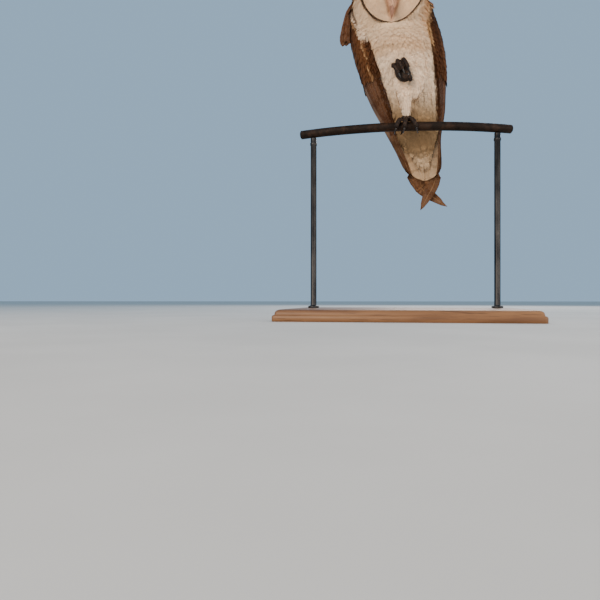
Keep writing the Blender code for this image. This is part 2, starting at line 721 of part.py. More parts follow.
def build_clenched_toe(word, across, lift):
    """One curled toe, and the talon that carries its curl on from its tip."""
    hind = word == "hind"
    start, sweep = HIND_CURL if hind else CURL
    middle, half = (HIND_MIDDLE, HIND_HALF) if hind else (CURL_MIDDLE, CURL_HALF)
    stretch = 0.0 if hind else TALON_STRETCH

    def spot(part, longer=1.0):
        turn = start + sweep * part
        return (across * (1 - CURL_CLOSE * min(part, 1.0)),
                middle[0] - half[0] * math.cos(turn),
                middle[1] + lift + half[1] * math.sin(turn) * longer)

    parts_along = [k / CURL_STEPS for k in range(CURL_STEPS + 1)]
    path = [spot(part) for part in parts_along]
    sizes = [CURL_RADIUS * (1.0 - CURL_TAPER * part) for part in parts_along]
    toe = tube("toe_left_" + word, path, sizes, TOE_SKIN, 6, parent=FIST)
    leave, reach = FIST_TALON
    last = len(FIST_TALON_SIZES) - 1
    hook = [spot(leave + reach * k / last, 1.0 + stretch * k / last) for k in range(last + 1)]
    talon = tube("talon_left_" + word, hook, FIST_TALON_SIZES, CLAW, 6, parent=FIST)
    return toe, talon


def build_tucked_foot():
    """The left foot drawn up into the belly feathers with its toes clenched."""
    sleeve = egg("leg_left", SLEEVE_PLACE, SLEEVE_HALF, WHITE_FEATHER, rows=8)
    pad = egg("foot_left", FIST_PAD_PLACE, FIST_PAD_HALF, TOE_SKIN, FIST, rows=6)
    made = []
    for word, (across, lift) in FIST_TOES.items():
        toe, talon = build_clenched_toe(word, across, lift)
        made.append((toe, talon))
        carve(toe, talon, HORN_GAP)
        carve(pad, toe)
        carve(pad, talon)
    return sleeve, pad, made


# ---------------------------------------------------------------- assembly
place_face()
trunk = build_trunk()
neck = build_neck()
tail = build_tail()
right_wing = build_wing(-1, "right", WING_RIGHT, TIP_RIGHT)
left_wing = build_wing(1, "left", WING_LEFT, TIP_LEFT)
raised = build_raised_scapulars()

disc = build_disc()
head = build_head()
bill = build_bill()
eyes = build_eyes()
for eye in eyes:
    carve(disc, eye)
    carve(head, eye)
for horn in bill:
    carve(disc, horn)
for piece in (head, disc):
    carve(neck, piece)
    carve(trunk, piece)
carve(raised, neck)
carve(raised, right_wing[0])
carve(raised, trunk)

thigh, shank = build_standing_leg()
sleeve, fist, fist_toes = build_tucked_foot()
foot, grip_toes = build_gripping_foot()
carve(trunk, thigh)
carve(trunk, shank)
carve(trunk, sleeve)
carve(sleeve, thigh)
carve(sleeve, shank)
carve(sleeve, fist)
carve(trunk, fist)
carve(thigh, fist)
for toe, talon in fist_toes:
    carve(trunk, toe)
    carve(sleeve, toe)
carve(shank, foot)
build_perch()
build_stand()
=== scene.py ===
import math

import bmesh
import bpy
import numpy as np
from mathutils import Matrix, Vector
from mathutils.bvhtree import BVHTree


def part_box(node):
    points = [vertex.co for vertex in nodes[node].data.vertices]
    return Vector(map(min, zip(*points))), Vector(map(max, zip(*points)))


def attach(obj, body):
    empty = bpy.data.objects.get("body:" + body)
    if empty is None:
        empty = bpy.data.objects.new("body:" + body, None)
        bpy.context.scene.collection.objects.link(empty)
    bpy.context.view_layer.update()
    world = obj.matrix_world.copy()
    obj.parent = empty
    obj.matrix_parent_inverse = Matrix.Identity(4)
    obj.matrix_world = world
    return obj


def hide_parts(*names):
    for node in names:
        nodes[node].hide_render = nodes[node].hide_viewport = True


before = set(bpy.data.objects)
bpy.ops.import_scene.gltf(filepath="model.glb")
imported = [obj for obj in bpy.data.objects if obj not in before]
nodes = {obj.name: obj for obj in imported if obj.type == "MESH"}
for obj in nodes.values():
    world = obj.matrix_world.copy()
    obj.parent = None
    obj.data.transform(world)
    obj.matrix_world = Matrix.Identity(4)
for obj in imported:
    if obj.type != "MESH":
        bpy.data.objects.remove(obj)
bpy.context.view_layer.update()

# ------------------------------------------------------------------ 1. studio
# A pale floor under a soft grey-blue surround, a broad warm light high in front on the bird's
# right, a weaker one on its left and one behind.  The camera stands low on the floor and
# looks level, so it sees the bird from below.
CAMERA_PLACE = (0.0, -0.92271, 0.03164)
CAMERA_TURN = 10.52            # degrees to the left of straight ahead
LENS = 33.6
FLOOR_HALF = 12.0
BIRD_MIDDLE = (0.0, 0.0, 0.42)


class Wire:
    """A node's output, on which sums are written as on a number."""

    def __init__(self, socket):
        self.socket, self.tree = socket, socket.id_data

    def math(self, operation, other=0.0):
        return add(self.tree, "ShaderNodeMath", {0: self, 1: other}, operation=operation)

    def __add__(self, other):
        return self.math("ADD", other)

    def __sub__(self, other):
        return self.math("SUBTRACT", other)

    def __mul__(self, other):
        return self.math("MULTIPLY", other)

    def __pow__(self, other):
        return self.math("POWER", other)


def tone(red, green, blue):
    """A screen colour, 0 to 255, made linear."""
    parts = [part / 255 for part in (red, green, blue)]
    return tuple(p / 12.92 if p <= 0.04045 else ((p + 0.055) / 1.055) ** 2.4 for p in parts)


def add(tree, kind, wires=(), out=0, **settings):
    """A node with its settings, and its inputs set or wired; returns one of its outputs."""
    made = tree.nodes.new(kind)
    for key, value in settings.items():
        setattr(made, key, value)
    for key, value in dict(wires).items():
        if isinstance(value, Wire):
            tree.links.new(value.socket, made.inputs[key])
        else:
            made.inputs[key].default_value = value
    return Wire(made.outputs[out])


def ramp(factor, *stops):
    """A smooth colour ramp over (place, colour) stops."""
    made = add(factor.tree, "ShaderNodeValToRGB", {0: factor})
    colours = made.socket.node.color_ramp
    colours.interpolation = "EASE"
    while len(colours.elements) < len(stops):
        colours.elements.new(0.5)
    for point, (place, colour) in zip(colours.elements, stops):
        point.position, point.color = place, (*colour, 1.0)
    return made


def fade(factor, start, end, first=0.0, last=1.0):
    """A smooth change from one value to another."""
    return ramp(factor, (start, (first,) * 3), (end, (last,) * 3))


def blend(first, second, share=1.0, kind="MIX"):
    """Two colours mixed or multiplied."""
    second = second if isinstance(second, Wire) else (*second, 1.0)
    return add(first.tree, "ShaderNodeMix", {0: share, 6: first, 7: second}, 2,
               data_type="RGBA", blend_type=kind)


def new_finish(name, **sockets):
    """A Principled material with constant socket values, and its tree."""
    made = bpy.data.materials.new(name)
    made.use_nodes = True
    for key, value in sockets.items():
        shader_socket(made.node_tree, key).default_value = value
    return made, made.node_tree


def shader_socket(tree, name):
    """One input of a material's shader."""
    return tree.nodes["Principled BSDF"].inputs[name.replace("_", " ")]


def paint(colour, name="Base_Color"):
    """Wire a colour or value into the shader."""
    colour.tree.links.new(colour.socket, shader_socket(colour.tree, name))


def relief(height, distance, strength=1.0):
    """Wire a bump from a height into the shader."""
    paint(add(height.tree, "ShaderNodeBump", {"Height": height, "Distance": distance,
                                              "Strength": strength}), "Normal")


def grain(tree, scale, detail=4.0, stretch=(1, 1, 1), roughness=0.55):
    """Noise on object coordinates, stretched along the axes."""
    place = add(tree, "ShaderNodeTexCoord", out="Object")
    drawn = add(tree, "ShaderNodeMapping", {"Vector": place, "Scale": stretch})
    return add(tree, "ShaderNodeTexNoise", {"Vector": drawn, "Scale": scale, "Detail": detail,
                                            "Roughness": roughness})


def link(name, data):
    """A new object in the scene."""
    made = bpy.data.objects.new(name, data)
    bpy.context.scene.collection.objects.link(made)
    return made


def keep(name, mesh, finish, *replaced):
    """Link a finished mesh as a piece of the bird or its mount, at the origin.  With no
    finish, it keeps the one that it already has."""
    made = link(name, mesh)
    if finish is not None:
        mesh.materials.clear()
        mesh.materials.append(finish)
    mesh.shade_smooth()
    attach(made, "root")
    if replaced:
        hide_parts(*replaced)


lens = bpy.data.cameras.new("camera")
lens.lens, lens.sensor_width = LENS, 36.0
lens.clip_start, lens.clip_end = 0.01, 60.0
camera = link("camera", lens)
camera.location = CAMERA_PLACE
camera.rotation_euler = (math.radians(90), 0.0, math.radians(CAMERA_TURN))
bpy.context.scene.camera = camera

for name, place, size, power, colour in (
        ("key_light", (-0.9, -1.9, 1.05), 1.2, 43.0, (1.0, 0.82, 0.64)),
        ("fill_light", (1.7, -1.1, 0.6), 1.2, 24.0, (1.0, 0.84, 0.68)),
        ("back_light", (0.5, 2.0, 1.4), 1.4, 34.0, (1.0, 0.95, 0.90))):
    light = bpy.data.lights.new(name, "AREA")
    light.size, light.energy, light.color = size, power, colour
    lamp = link(name, light)
    lamp.location = place
    lamp.rotation_euler = (Vector(BIRD_MIDDLE) - Vector(place)).to_track_quat("-Z", "Y").to_euler()

world = bpy.data.worlds.new("surround")
bpy.context.scene.world = world
world.use_nodes = True
surround = world.node_tree.nodes["Background"].inputs
surround["Color"].default_value = (*tone(146, 176, 202), 1)
surround["Strength"].default_value = 1.12

floor_finish, tree = new_finish("floor_finish", Roughness=0.85)
paint(ramp(grain(tree, 6.0), (0.3, tone(196, 193, 188)), (0.7, tone(204, 201, 196))))
floor_mesh = bpy.data.meshes.new("floor")
floor_mesh.from_pydata([(x * FLOOR_HALF, y * FLOOR_HALF, 0)
                        for x, y in ((-1, -1), (1, -1), (1, 1), (-1, 1))], [], [(0, 1, 2, 3)])
floor_mesh.materials.append(floor_finish)
link("floor", floor_mesh)

# ------------------------------------------------------------------ 2. display stand
# A small moulded board of oiled oak carries two blackened steel rods.  Each rod is turned,
# stands in a round foot plate and ends in a collar under the perch.
BOARD_LOW, BOARD_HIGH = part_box("stand_base")
BOARD_PROFILE = (      # height as a part of the board's, and inset from its edge in metres
    (0.00, 0.0006), (0.04, 0.0), (0.40, 0.0), (0.50, 0.0008), (0.56, 0.0030), (0.62, 0.0034),
    (0.80, 0.0042), (0.92, 0.0062), (0.98, 0.0090), (1.00, 0.0120),
)
BOARD_CORNER, BOARD_CORNER_STEPS = 0.004, 6
POST_STEPS = 40


def board_ring(inset, height):
    """A rounded rectangle round the board at a height."""
    ring = []
    half_x, half_y = [reach / 2 - inset for reach in (BOARD_HIGH - BOARD_LOW).xy]
    for corner, (sx, sy) in enumerate(((1, 1), (-1, 1), (-1, -1), (1, -1))):
        for k in range(BOARD_CORNER_STEPS + 1):
            turn = math.pi / 2 * (corner + k / BOARD_CORNER_STEPS)
            ring.append((sx * (half_x - BOARD_CORNER) + BOARD_CORNER * math.cos(turn),
                         sy * (half_y - BOARD_CORNER) + BOARD_CORNER * math.sin(turn), height))
    return ring


def circle(count):
    """Turns evenly round a circle."""
    return [2 * math.pi * k / count for k in range(count)]


def as_mesh(work, name="mesh"):
    """A mesh of what is being worked on."""
    mesh = bpy.data.meshes.new(name)
    work.to_mesh(mesh)
    work.free()
    return mesh


def skin_rings(name, rings, joined=False):
    """A mesh over closed rings of equal length, faces outward.  It is capped at both ends, or
    its last ring is joined to its first."""
    work = bmesh.new()
    rows = [[work.verts.new(point) for point in ring] for ring in rings]
    for lower, upper in zip(rows, rows[1:] + rows[:1] if joined else rows[1:]):
        for i in range(len(lower)):
            work.faces.new((lower[i - 1], lower[i], upper[i], upper[i - 1]))
    if not joined:
        work.faces.new(rows[0][::-1])
        work.faces.new(rows[-1])
    bmesh.ops.recalc_face_normals(work, faces=work.faces)
    return as_mesh(work, name)


oak, tree = new_finish("oiled_oak", Roughness=0.42, Specular_IOR_Level=0.4)
lines = grain(tree, 26.0, 6.0, (0.35, 7.0, 3.0))
pores = grain(tree, 180.0, 2.0, (0.12, 5.0, 5.0))
lines = ramp(lines, (0.30, tone(96, 62, 38)), (0.52, tone(146, 103, 66)), (0.75, tone(170, 126, 84)))
plank = ramp(grain(tree, 5.0, 2.0, (0.6, 4.0, 2.0)), (0.35, tone(118, 80, 50)),
             (0.65, tone(164, 120, 80)))
paint(blend(blend(lines, plank, 0.5), tone(74, 47, 29), fade(pores, 0.58, 0.70)))
relief(pores, 0.0002, 0.5)
keep("display_board", skin_rings("display_board", [
    board_ring(inset, BOARD_LOW.z + part * (BOARD_HIGH.z - BOARD_LOW.z))
    for part, inset in BOARD_PROFILE]), oak, "stand_base")

blackened, tree = new_finish("blackened_steel", Metallic=0.85)
wear = grain(tree, 90.0, 5.0, (1, 1, 0.25))
paint(ramp(wear, (0.35, tone(44, 43, 44)), (0.62, tone(70, 68, 67)), (0.78, tone(104, 100, 96))))
paint(fade(wear, 0.3, 0.75, 0.34, 0.55), "Roughness")
relief(grain(tree, 700.0, 2.0, (1, 1, 0.1)), 0.00005, 0.6)
for word in ("right", "left"):
    low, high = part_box("stand_rod_" + word)
    middle, tall, radius = (low + high) / 2, high.z - low.z, (high.x - low.x) / 2
    turned = (       # height above the rod's foot, and radius as a part of the rod's
        (0.0, 1.75), (0.0006, 1.85), (0.0026, 1.85), (0.0034, 1.70), (0.0040, 1.15),
        (0.0052, 1.0), (tall - 0.0130, 1.0), (tall - 0.0122, 1.16), (tall - 0.0086, 1.16),
        (tall - 0.0078, 1.0), (tall - 0.0012, 1.0), (tall, 0.94),
    )
    keep("stand_post_" + word, skin_rings("stand_post_" + word, [
        [(middle.x + part * radius * math.cos(turn), middle.y + part * radius * math.sin(turn),
          low.z + height) for turn in circle(POST_STEPS)] for height, part in turned]),
        blackened, "stand_rod_" + word)

# ------------------------------------------------------------------ 3. perch
# A cut length of round mild-steel rod, rolled to a long level bend and left to weather to a
# brown, pitted skin.  Both ends are sawn and slightly chamfered.
ROD_LOW, ROD_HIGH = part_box("perch_rod")
ROD_RADIUS = (ROD_HIGH.z - ROD_LOW.z) / 2
ROD_BEND, ROD_APEX = 0.50, -0.040        # radius of the bend and the place nearest the front
ROD_STEPS, ROD_SIDES = 120, 28
ROD_LIP, ROD_CHAMFER = 0.0008, 0.86      # length of the chamfer, and what it leaves
ROD_PITTING = 0.010

rust, tree = new_finish("weathered_steel", Metallic=0.05, Specular_IOR_Level=0.2)
patches, specks = grain(tree, 60.0, 6.0), grain(tree, 900.0, 3.0)
bare = ramp(patches, (0.28, tone(13, 8, 4)), (0.48, tone(27, 17, 9)), (0.62, tone(46, 29, 17)),
            (0.78, tone(43, 35, 28)))
paint(blend(bare, tone(76, 47, 29), fade(specks, 0.60, 0.72)))
paint(fade(patches, 0.3, 0.8, 0.75, 0.48), "Roughness")
relief(patches + specks, 0.0003, 0.7)


def rod_sag(across):
    """How far the bend has come back from its apex at a place across."""
    return ROD_BEND - math.sqrt(ROD_BEND**2 - (across - ROD_APEX) ** 2)


luck = np.random.default_rng(11)
rings = []
places = [ROD_LOW.x + 0.00001, *np.linspace(ROD_LOW.x + ROD_LIP, ROD_HIGH.x - ROD_LIP, ROD_STEPS),
          ROD_HIGH.x - 0.00001]
for x in places:
    thick = ROD_RADIUS * (ROD_CHAMFER if x in (places[0], places[-1]) else 1.0)
    slope = (x - ROD_APEX) / math.sqrt(ROD_BEND**2 - (x - ROD_APEX) ** 2)
    flat = Vector((-slope, 1.0, 0.0)).normalized()
    middle = Vector((x, rod_sag(x) - rod_sag(0.0), ROD_HIGH.z - ROD_RADIUS))
    pits = 1.0 - ROD_PITTING * luck.random(ROD_SIDES)
    rings.append([middle + (flat * math.cos(turn) + Vector((0, 0, math.sin(turn)))) * thick * pit
                  for turn, pit in zip(circle(ROD_SIDES), pits)])
keep("perch_bar", skin_rings("perch_bar", rings), rust, "perch_rod")

# ------------------------------------------------------------------ 4. skin
# One closed skin runs over the head, neck, body, legs and folded wings.  It lies inside the
# solids by the depth of the plumage, and carries the same markings as the feathers on it.
FLESH = ("trunk", "neck", "head", "facial_disc", "thigh_right", "tarsus_right", "leg_left")
WING_NODES = [part + side for side in ("_right", "_left")
              for part in ("wing_coverts", "secondaries", "scapulars")]
SKIN_VOXEL = 0.0015
SKIN_SWELL = 0.0008            # closes the seams between solids before the skin is drawn
COAT_DEPTH = {"trunk": 0.0030, "neck": 0.0028, "head": 0.0022, "facial_disc": 0.0012,
              "thigh_right": 0.0020, "tarsus_right": 0.0018, "leg_left": 0.0022,
              "wing_coverts": 0.0026, "secondaries": 0.0028, "scapulars": 0.0026}
OWL = Vector((0.0, 0.0, ROD_HIGH.z))      # heights on the bird are measured from the perch


def merged(names, swell=0.0):
    """The named solids as one mesh, each with its doubles merged and grown a little."""
    total = bmesh.new()
    for name in names:
        part = bmesh.new()
        part.from_mesh(nodes[name].data)
        bmesh.ops.remove_doubles(part, verts=part.verts, dist=1e-6)
        part.normal_update()
        for vert, step in [(vert, vert.normal * swell) for vert in part.verts]:
            vert.co += step
        spare = as_mesh(part)
        total.from_mesh(spare)
        bpy.data.meshes.remove(spare)
    return as_mesh(total)


def evaluated(mesh, kind, inputs=(), **settings):
    """The plain mesh that one modifier makes of another."""
    spare = link("spare", mesh)
    change = spare.modifiers.new("change", kind)
    for key, value in settings.items():
        setattr(change, key, value)
    for identifier, value in dict(inputs).items():
        change[identifier] = value
    graph = bpy.context.evaluated_depsgraph_get()
    made = bpy.data.meshes.new_from_object(spare.evaluated_get(graph))
    bpy.data.objects.remove(spare, do_unlink=True)
    return made


def remeshed(mesh, voxel, least=math.inf):
    """A voxel remesh, without its smaller shells of fewer than so many vertices."""
    work = bmesh.new()
    work.from_mesh(evaluated(mesh, "REMESH", mode="VOXEL", voxel_size=voxel))
    shells, seen = [], set()
    for seed in work.verts:
        if seed in seen:
            continue
        shell = [seed]
        seen.add(seed)
        for vert in shell:             # the list grows while it is read
            for other in [edge.other_vert(vert) for edge in vert.link_edges]:
                if other not in seen:
                    seen.add(other)
                    shell.append(other)
        shells.append(shell)
    for shell in sorted(shells, key=len)[:-1]:
        if len(shell) < least:
            bmesh.ops.delete(work, geom=shell, context="VERTS")
    return as_mesh(work)


def fetch(data, field, width=1, kind=float):
    """One field of a mesh's elements, as numbers or as rows."""
    values = np.empty(len(data) * width, dtype=kind)
    data.foreach_get(field, values)
    return values.reshape(-1, width) if width > 1 else values


def read_mesh(mesh):
    """Vertices, their normals and edges, as arrays."""
    return (fetch(mesh.vertices, "co", 3), fetch(mesh.vertex_normals, "vector", 3),
            fetch(mesh.edges, "vertices", 2, int))


def even_out(values, edges, rounds, share=0.5):
    """Laplacian smoothing of any per-vertex values over a mesh's edges."""
    count = len(values)
    degree = np.bincount(edges.ravel(), minlength=count).clip(1)
    values = values.reshape(count, -1).copy()
    for _ in range(rounds):
        total = np.stack([
            np.bincount(edges[:, 0], values[edges[:, 1], k], count)
            + np.bincount(edges[:, 1], values[edges[:, 0], k], count)
            for k in range(values.shape[1])], axis=1)
        values += share * (total / degree[:, None] - values)
    return values


def unit(rows):
    """Rows of vectors at unit length."""
    return rows / np.linalg.norm(rows, axis=-1, keepdims=True).clip(1e-9)


def flatten_to(rows, normals):
    """Vectors laid into the surface and made unit length."""
    return unit(rows - (rows * normals).sum(1, keepdims=True) * normals)


def tree_of(names):
    """A search tree over the named solids, and the index of the solid each face is from."""
    points, faces, owner = [], [], []
    for index, name in enumerate(names):
        mesh, start = nodes[name].data, len(points)
        points += [tuple(vert.co) for vert in mesh.vertices]
        faces += [tuple(start + v for v in face.vertices) for face in mesh.polygons]
        owner += [index] * len(mesh.polygons)
    return BVHTree.FromPolygons(points, faces), np.array(owner)


def near_nodes(spots, names):
    """For each place, the index of the named solid whose surface is nearest."""
    hunt, owner = tree_of(names)
    return owner[[hunt.find_nearest(spot)[2] for spot in spots]]


BODY_NODES = [*FLESH, *WING_NODES]
BODY_KINDS = np.array([name.replace("_right", "").replace("_left", "") if name in WING_NODES
                       else name for name in BODY_NODES])
JUST_INSIDE, DEEPEST = 0.0004, 0.05      # where a look through the flesh starts and ends
THIN_SHARE = 0.30              # the most of a thin part's thickness that its coat may take
skin_mesh = remeshed(merged(BODY_NODES, SKIN_SWELL), SKIN_VOXEL)
spots, normals, edges = read_mesh(skin_mesh)
shape = even_out(spots, edges, 4)
depth = np.array([COAT_DEPTH[kind] for kind in BODY_KINDS])[near_nodes(spots, BODY_NODES)]
normals = unit(even_out(normals, edges, 3))
hunt = BVHTree.FromPolygons(spots.tolist(), [face.vertices[:] for face in skin_mesh.polygons])
hits = [hunt.ray_cast(Vector(spot - normal * JUST_INSIDE), Vector(-normal), DEEPEST)[3] or DEEPEST
        for spot, normal in zip(spots, normals)]
depth = even_out(np.minimum(depth, np.array(hits) * THIN_SHARE) + SKIN_SWELL, edges, 6)
shape = even_out(shape - normals * depth, edges, 3)
skin_mesh.vertices.foreach_set("co", shape.ravel())
skin_mesh.update()
spots, normals, edges = read_mesh(skin_mesh)
normals = unit(even_out(normals, edges, 4))
owners = near_nodes(spots, BODY_NODES)
where, kinds = np.array(BODY_NODES)[owners], BODY_KINDS[owners]


def cut_points(names, level):
    """Where the named solids' edges cross a level plane."""
    found = []
    for name in names:
        mesh = nodes[name].data
        ends = fetch(mesh.vertices, "co", 3)[fetch(mesh.edges, "vertices", 2, int)]
        low, high = ends[:, 0], ends[:, 1]
        over = (low[:, 2] - level) * (high[:, 2] - level) < 0
        low, high = low[over], high[over]
        part = ((level - low[:, 2]) / (high[:, 2] - low[:, 2]))[:, None]
        found.append(low + (high - low) * part)
    return np.concatenate(found)


# The body's middle line and half sizes, level by level, from the solids' own sections.
SPINE_COUNT, SPINE_START, SPINE_END = 26, 0.003, 0.014
SPINE_LEVELS = np.linspace(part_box("trunk")[0].z + SPINE_START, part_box("neck")[1].z - SPINE_END,
                           SPINE_COUNT)
SPINE = []
for level in SPINE_LEVELS:
    cut = cut_points(("trunk", "neck"), level)
    low, high = cut.min(0), cut.max(0)
    SPINE.append(((low[0] + high[0]) / 2, (low[1] + high[1]) / 2,
                  (high[0] - low[0]) / 2, (high[1] - low[1]) / 2))
SPINE = np.array(SPINE)


def spine_at(level):
    """Middle across, middle in depth and half sizes of the body at given heights."""
    return np.stack([np.interp(level, SPINE_LEVELS, SPINE[:, k]) for k in range(4)], axis=-1)


def round_turn(places):
    """Turn about the body's middle line: 0 in front, positive on the bird's left."""
    mid = spine_at(places[:, 2])
    return np.arctan2((places[:, 0] - mid[:, 0]) / mid[:, 2],
                      -(places[:, 1] - mid[:, 1]) / mid[:, 3])


def rise(value, start, end):
    """A smooth step from 0 at start to 1 at end."""
    part = np.clip((value - start) / (end - start), 0.0, 1.0)
    return part * part * (3 - 2 * part)


# The face's own frame, from the two eyes: across to the bird's left, up the face, forward.
HEAD_PITCH, HEAD_ROLL = math.radians(36), math.radians(4)
EYE_UP, EYE_BACK = 0.0060, 0.0165
FORWARD = Vector((0.0, -math.cos(HEAD_PITCH), -math.sin(HEAD_PITCH)))
UP = Matrix.Rotation(-HEAD_ROLL, 3, FORWARD) @ Vector(
    (0.0, -math.sin(HEAD_PITCH), math.cos(HEAD_PITCH)))
ACROSS = UP.cross(FORWARD)
eye_middles = {side: sum(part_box("eye_" + side), Vector()) / 2 for side in ("left", "right")}
FACE = (eye_middles["left"] + eye_middles["right"]) / 2 - UP * EYE_UP + FORWARD * EYE_BACK
FACE_AXES = np.array([ACROSS, UP, FORWARD])
DISC_RADIUS = 0.046


def to_face(places):
    """World places in the face's frame."""
    return (places - np.array(FACE)) @ FACE_AXES.T


def from_face(places):
    """Places in the face's frame out in the world."""
    return np.asarray(places) @ FACE_AXES + np.array(FACE)


def disc_reach(turn):
    """The heart-shaped outline of the disc; a quarter turn is the top."""
    notch = 0.0085 * np.exp(-(((turn - math.pi / 2) / 0.30) ** 2))
    low = rise(-np.sin(turn), -0.5, 0.1)
    lean = low * (0.0012 * np.cos(turn) + 0.0016 * np.exp(-(((turn + 0.72) / 0.35) ** 2)))
    return DISC_RADIUS + 0.0012 * np.maximum(np.sin(turn), 0.0) - notch - lean


# Plumage colours, and the function that paints skin and feathers alike.
WHITE = np.array(tone(248, 221, 190))
CREAM = np.array(tone(230, 200, 164))
BUFF = np.array(tone(200, 158, 112))
GOLD = np.array(tone(166, 118, 74))
BROWN = np.array(tone(96, 58, 32))
DARK = np.array(tone(58, 30, 13))
GREY = np.array(tone(140, 131, 122))
RUFOUS = np.array(tone(150, 92, 58))
OCHRE = np.array(tone(240, 190, 138))
PERCH_SHADE_TAN = np.array(tone(150, 119, 82))
PINK = np.array(tone(212, 158, 128))


def mixed(first, second, part):
    """A mixed colour, or one row of it for each part."""
    part = np.asarray(part)[..., None]
    return first * (1 - part) + second * part


WING_KINDS = ("wing_coverts", "secondaries", "scapulars")
LEG_KINDS = ("thigh_right", "tarsus_right", "leg_left")
DISC_TONE = tone(242, 208, 170)


def markings(places, kind):
    """Colour and strength of the upper-side pattern at places on a kind of plumage."""
    turn = round_turn(places)
    high = places[:, 2] - OWL.z
    face = to_face(places)
    wide, up = np.abs(face[:, 0]), face[:, 1]
    aside = np.abs(turn)
    # White in front; golden behind and high on the right flank; ochre by the left shoulder.
    golden = rise(aside, 1.25, 1.55) * rise(high, 0.020, 0.060)
    golden = np.maximum(golden, rise(-turn, 1.02, 1.20) * rise(high, 0.150, 0.165))
    side_patch = rise(turn, 0.55, 0.95) * rise(high, 0.118, 0.150)
    colour = mixed(WHITE, CREAM, np.maximum(1 - rise(high, 0.02, 0.075),
                                            0.8 * rise(high, 0.118, 0.128)))
    # A faint buff bib, partly buff wash and partly painted shade under the overhanging head.
    # Painted shade of the perch and legs darkens the lower belly to tan and fades out under the tail.
    bib_and_head_shade = rise(high, 0.099, 0.106) * (1 - rise(high, 0.117, 0.127)) * (1 - rise(aside, 0.7, 1.1))
    colour = mixed(colour, BUFF, 0.55 * bib_and_head_shade)
    colour = mixed(colour, OCHRE, 0.80 * side_patch)
    # Painted shade from the perch and between the legs, darkest around the perch.
    perch_shade = (1 - rise(high, 0.014, 0.058)) * (0.42 + 0.58 * rise(high, -0.040, -0.022))
    colour = mixed(colour, PERCH_SHADE_TAN, 0.90 * perch_shade)
    # The crown and nape are golden, and the cheeks behind the ruff stay white.
    crown = rise(up, -0.010, 0.020)
    behind = rise(-face[:, 2] + 0.014 * crown, 0.012, 0.030 - 0.008 * crown)
    upper = np.where(kind == "head", behind * rise(up, -0.034, -0.012), golden)
    upper = np.where(np.isin(kind, WING_KINDS), 1.0, upper)
    disc, legs = kind == "facial_disc", np.isin(kind, LEG_KINDS)
    upper = np.where(disc | legs, 0.0, upper)
    colour = mixed(colour, GOLD, upper)
    # On the disc, a rufous stain by each eye runs down beside the pink wedge over the bill; the line
    # beside the wedge is partly rufous lore and partly painted shadow along the ridge's flanks.
    tear = np.exp(-((wide - 0.0105) / 0.0045) ** 2 - ((up + 0.001) / 0.0085) ** 2)
    # A thin rufous line along each flank of the ridge: partly lore colour, partly painted shadow.
    edge = 0.0026 + 0.30 * (up + 0.0405).clip(0)
    lore_and_ridge_shade = np.exp(-((wide - edge) / 0.0020) ** 2) * rise(up, -0.040, -0.032) * (
        1 - rise(up, -0.008, 0.000))
    wedge = (1 - rise(wide, edge - 0.002, edge + 0.001)) * (1 - rise(up, -0.012, 0.000))
    colour = np.where(disc[:, None], DISC_TONE, colour)
    colour = mixed(colour, PINK, np.where(disc, 0.7 * wedge, 0.0))
    colour = mixed(colour, RUFOUS, np.where(disc, np.maximum(0.85 * tear, 0.78 * lore_and_ridge_shade), 0.0))
    return np.where(legs[:, None], WHITE * 1.06, colour), upper


# ------------------------------------------------------------------ 5. lie of the plumage
# Feathers run down the body and back along the folded wings, away from the bill over the
# head, and out from the eyes over the facial disc.
EYE_ASIDE = 0.0185
DOWN = np.array((0.0, 0.0, -1.0))
face = to_face(spots)
turns = round_turn(spots)
high = spots[:, 2] - OWL.z
# The breast's feathers part sideways, and those below the perch lean back under the tail.
spread = np.sin(turns) * (0.30 * rise(high, 0.06, 0.14) * (high < 0.16)
                          + 0.30 * rise(-high, 0.0, 0.02) * (1 - rise(-high, 0.028, 0.044)))
under_tail = 1.1 * rise(-high, -0.035, 0.005)
lie = flatten_to(DOWN + np.stack([spread, under_tail, 0 * high], 1), normals)
on_wing = np.isin(kinds, WING_KINDS)
lie = np.where(on_wing[:, None], flatten_to(DOWN + (0.0, 0.34, 0.0), normals), lie)
back_away = rise(-face[:, 2], 0.050, 0.085)[:, None]
head_way = flatten_to(-np.array(FORWARD) * (1 - back_away) + DOWN * (back_away + 0.10), normals)
lie = np.where((kinds == "head")[:, None], head_way, lie)
near_eye = face[:, :2] - np.stack([np.sign(face[:, 0]) * EYE_ASIDE, 0 * high + EYE_UP], 1)
middle_pull = np.exp(-(face[:, 0] / 0.0050) ** 2)
fan = np.stack([near_eye[:, 0] * (1 - middle_pull),
                near_eye[:, 1] * (1 - middle_pull) - 0.02 * middle_pull, 0 * high], 1)
lie = np.where((kinds == "facial_disc")[:, None], flatten_to(fan @ FACE_AXES, normals), lie)
lie = flatten_to(unit(even_out(lie, edges, 5)), normals)


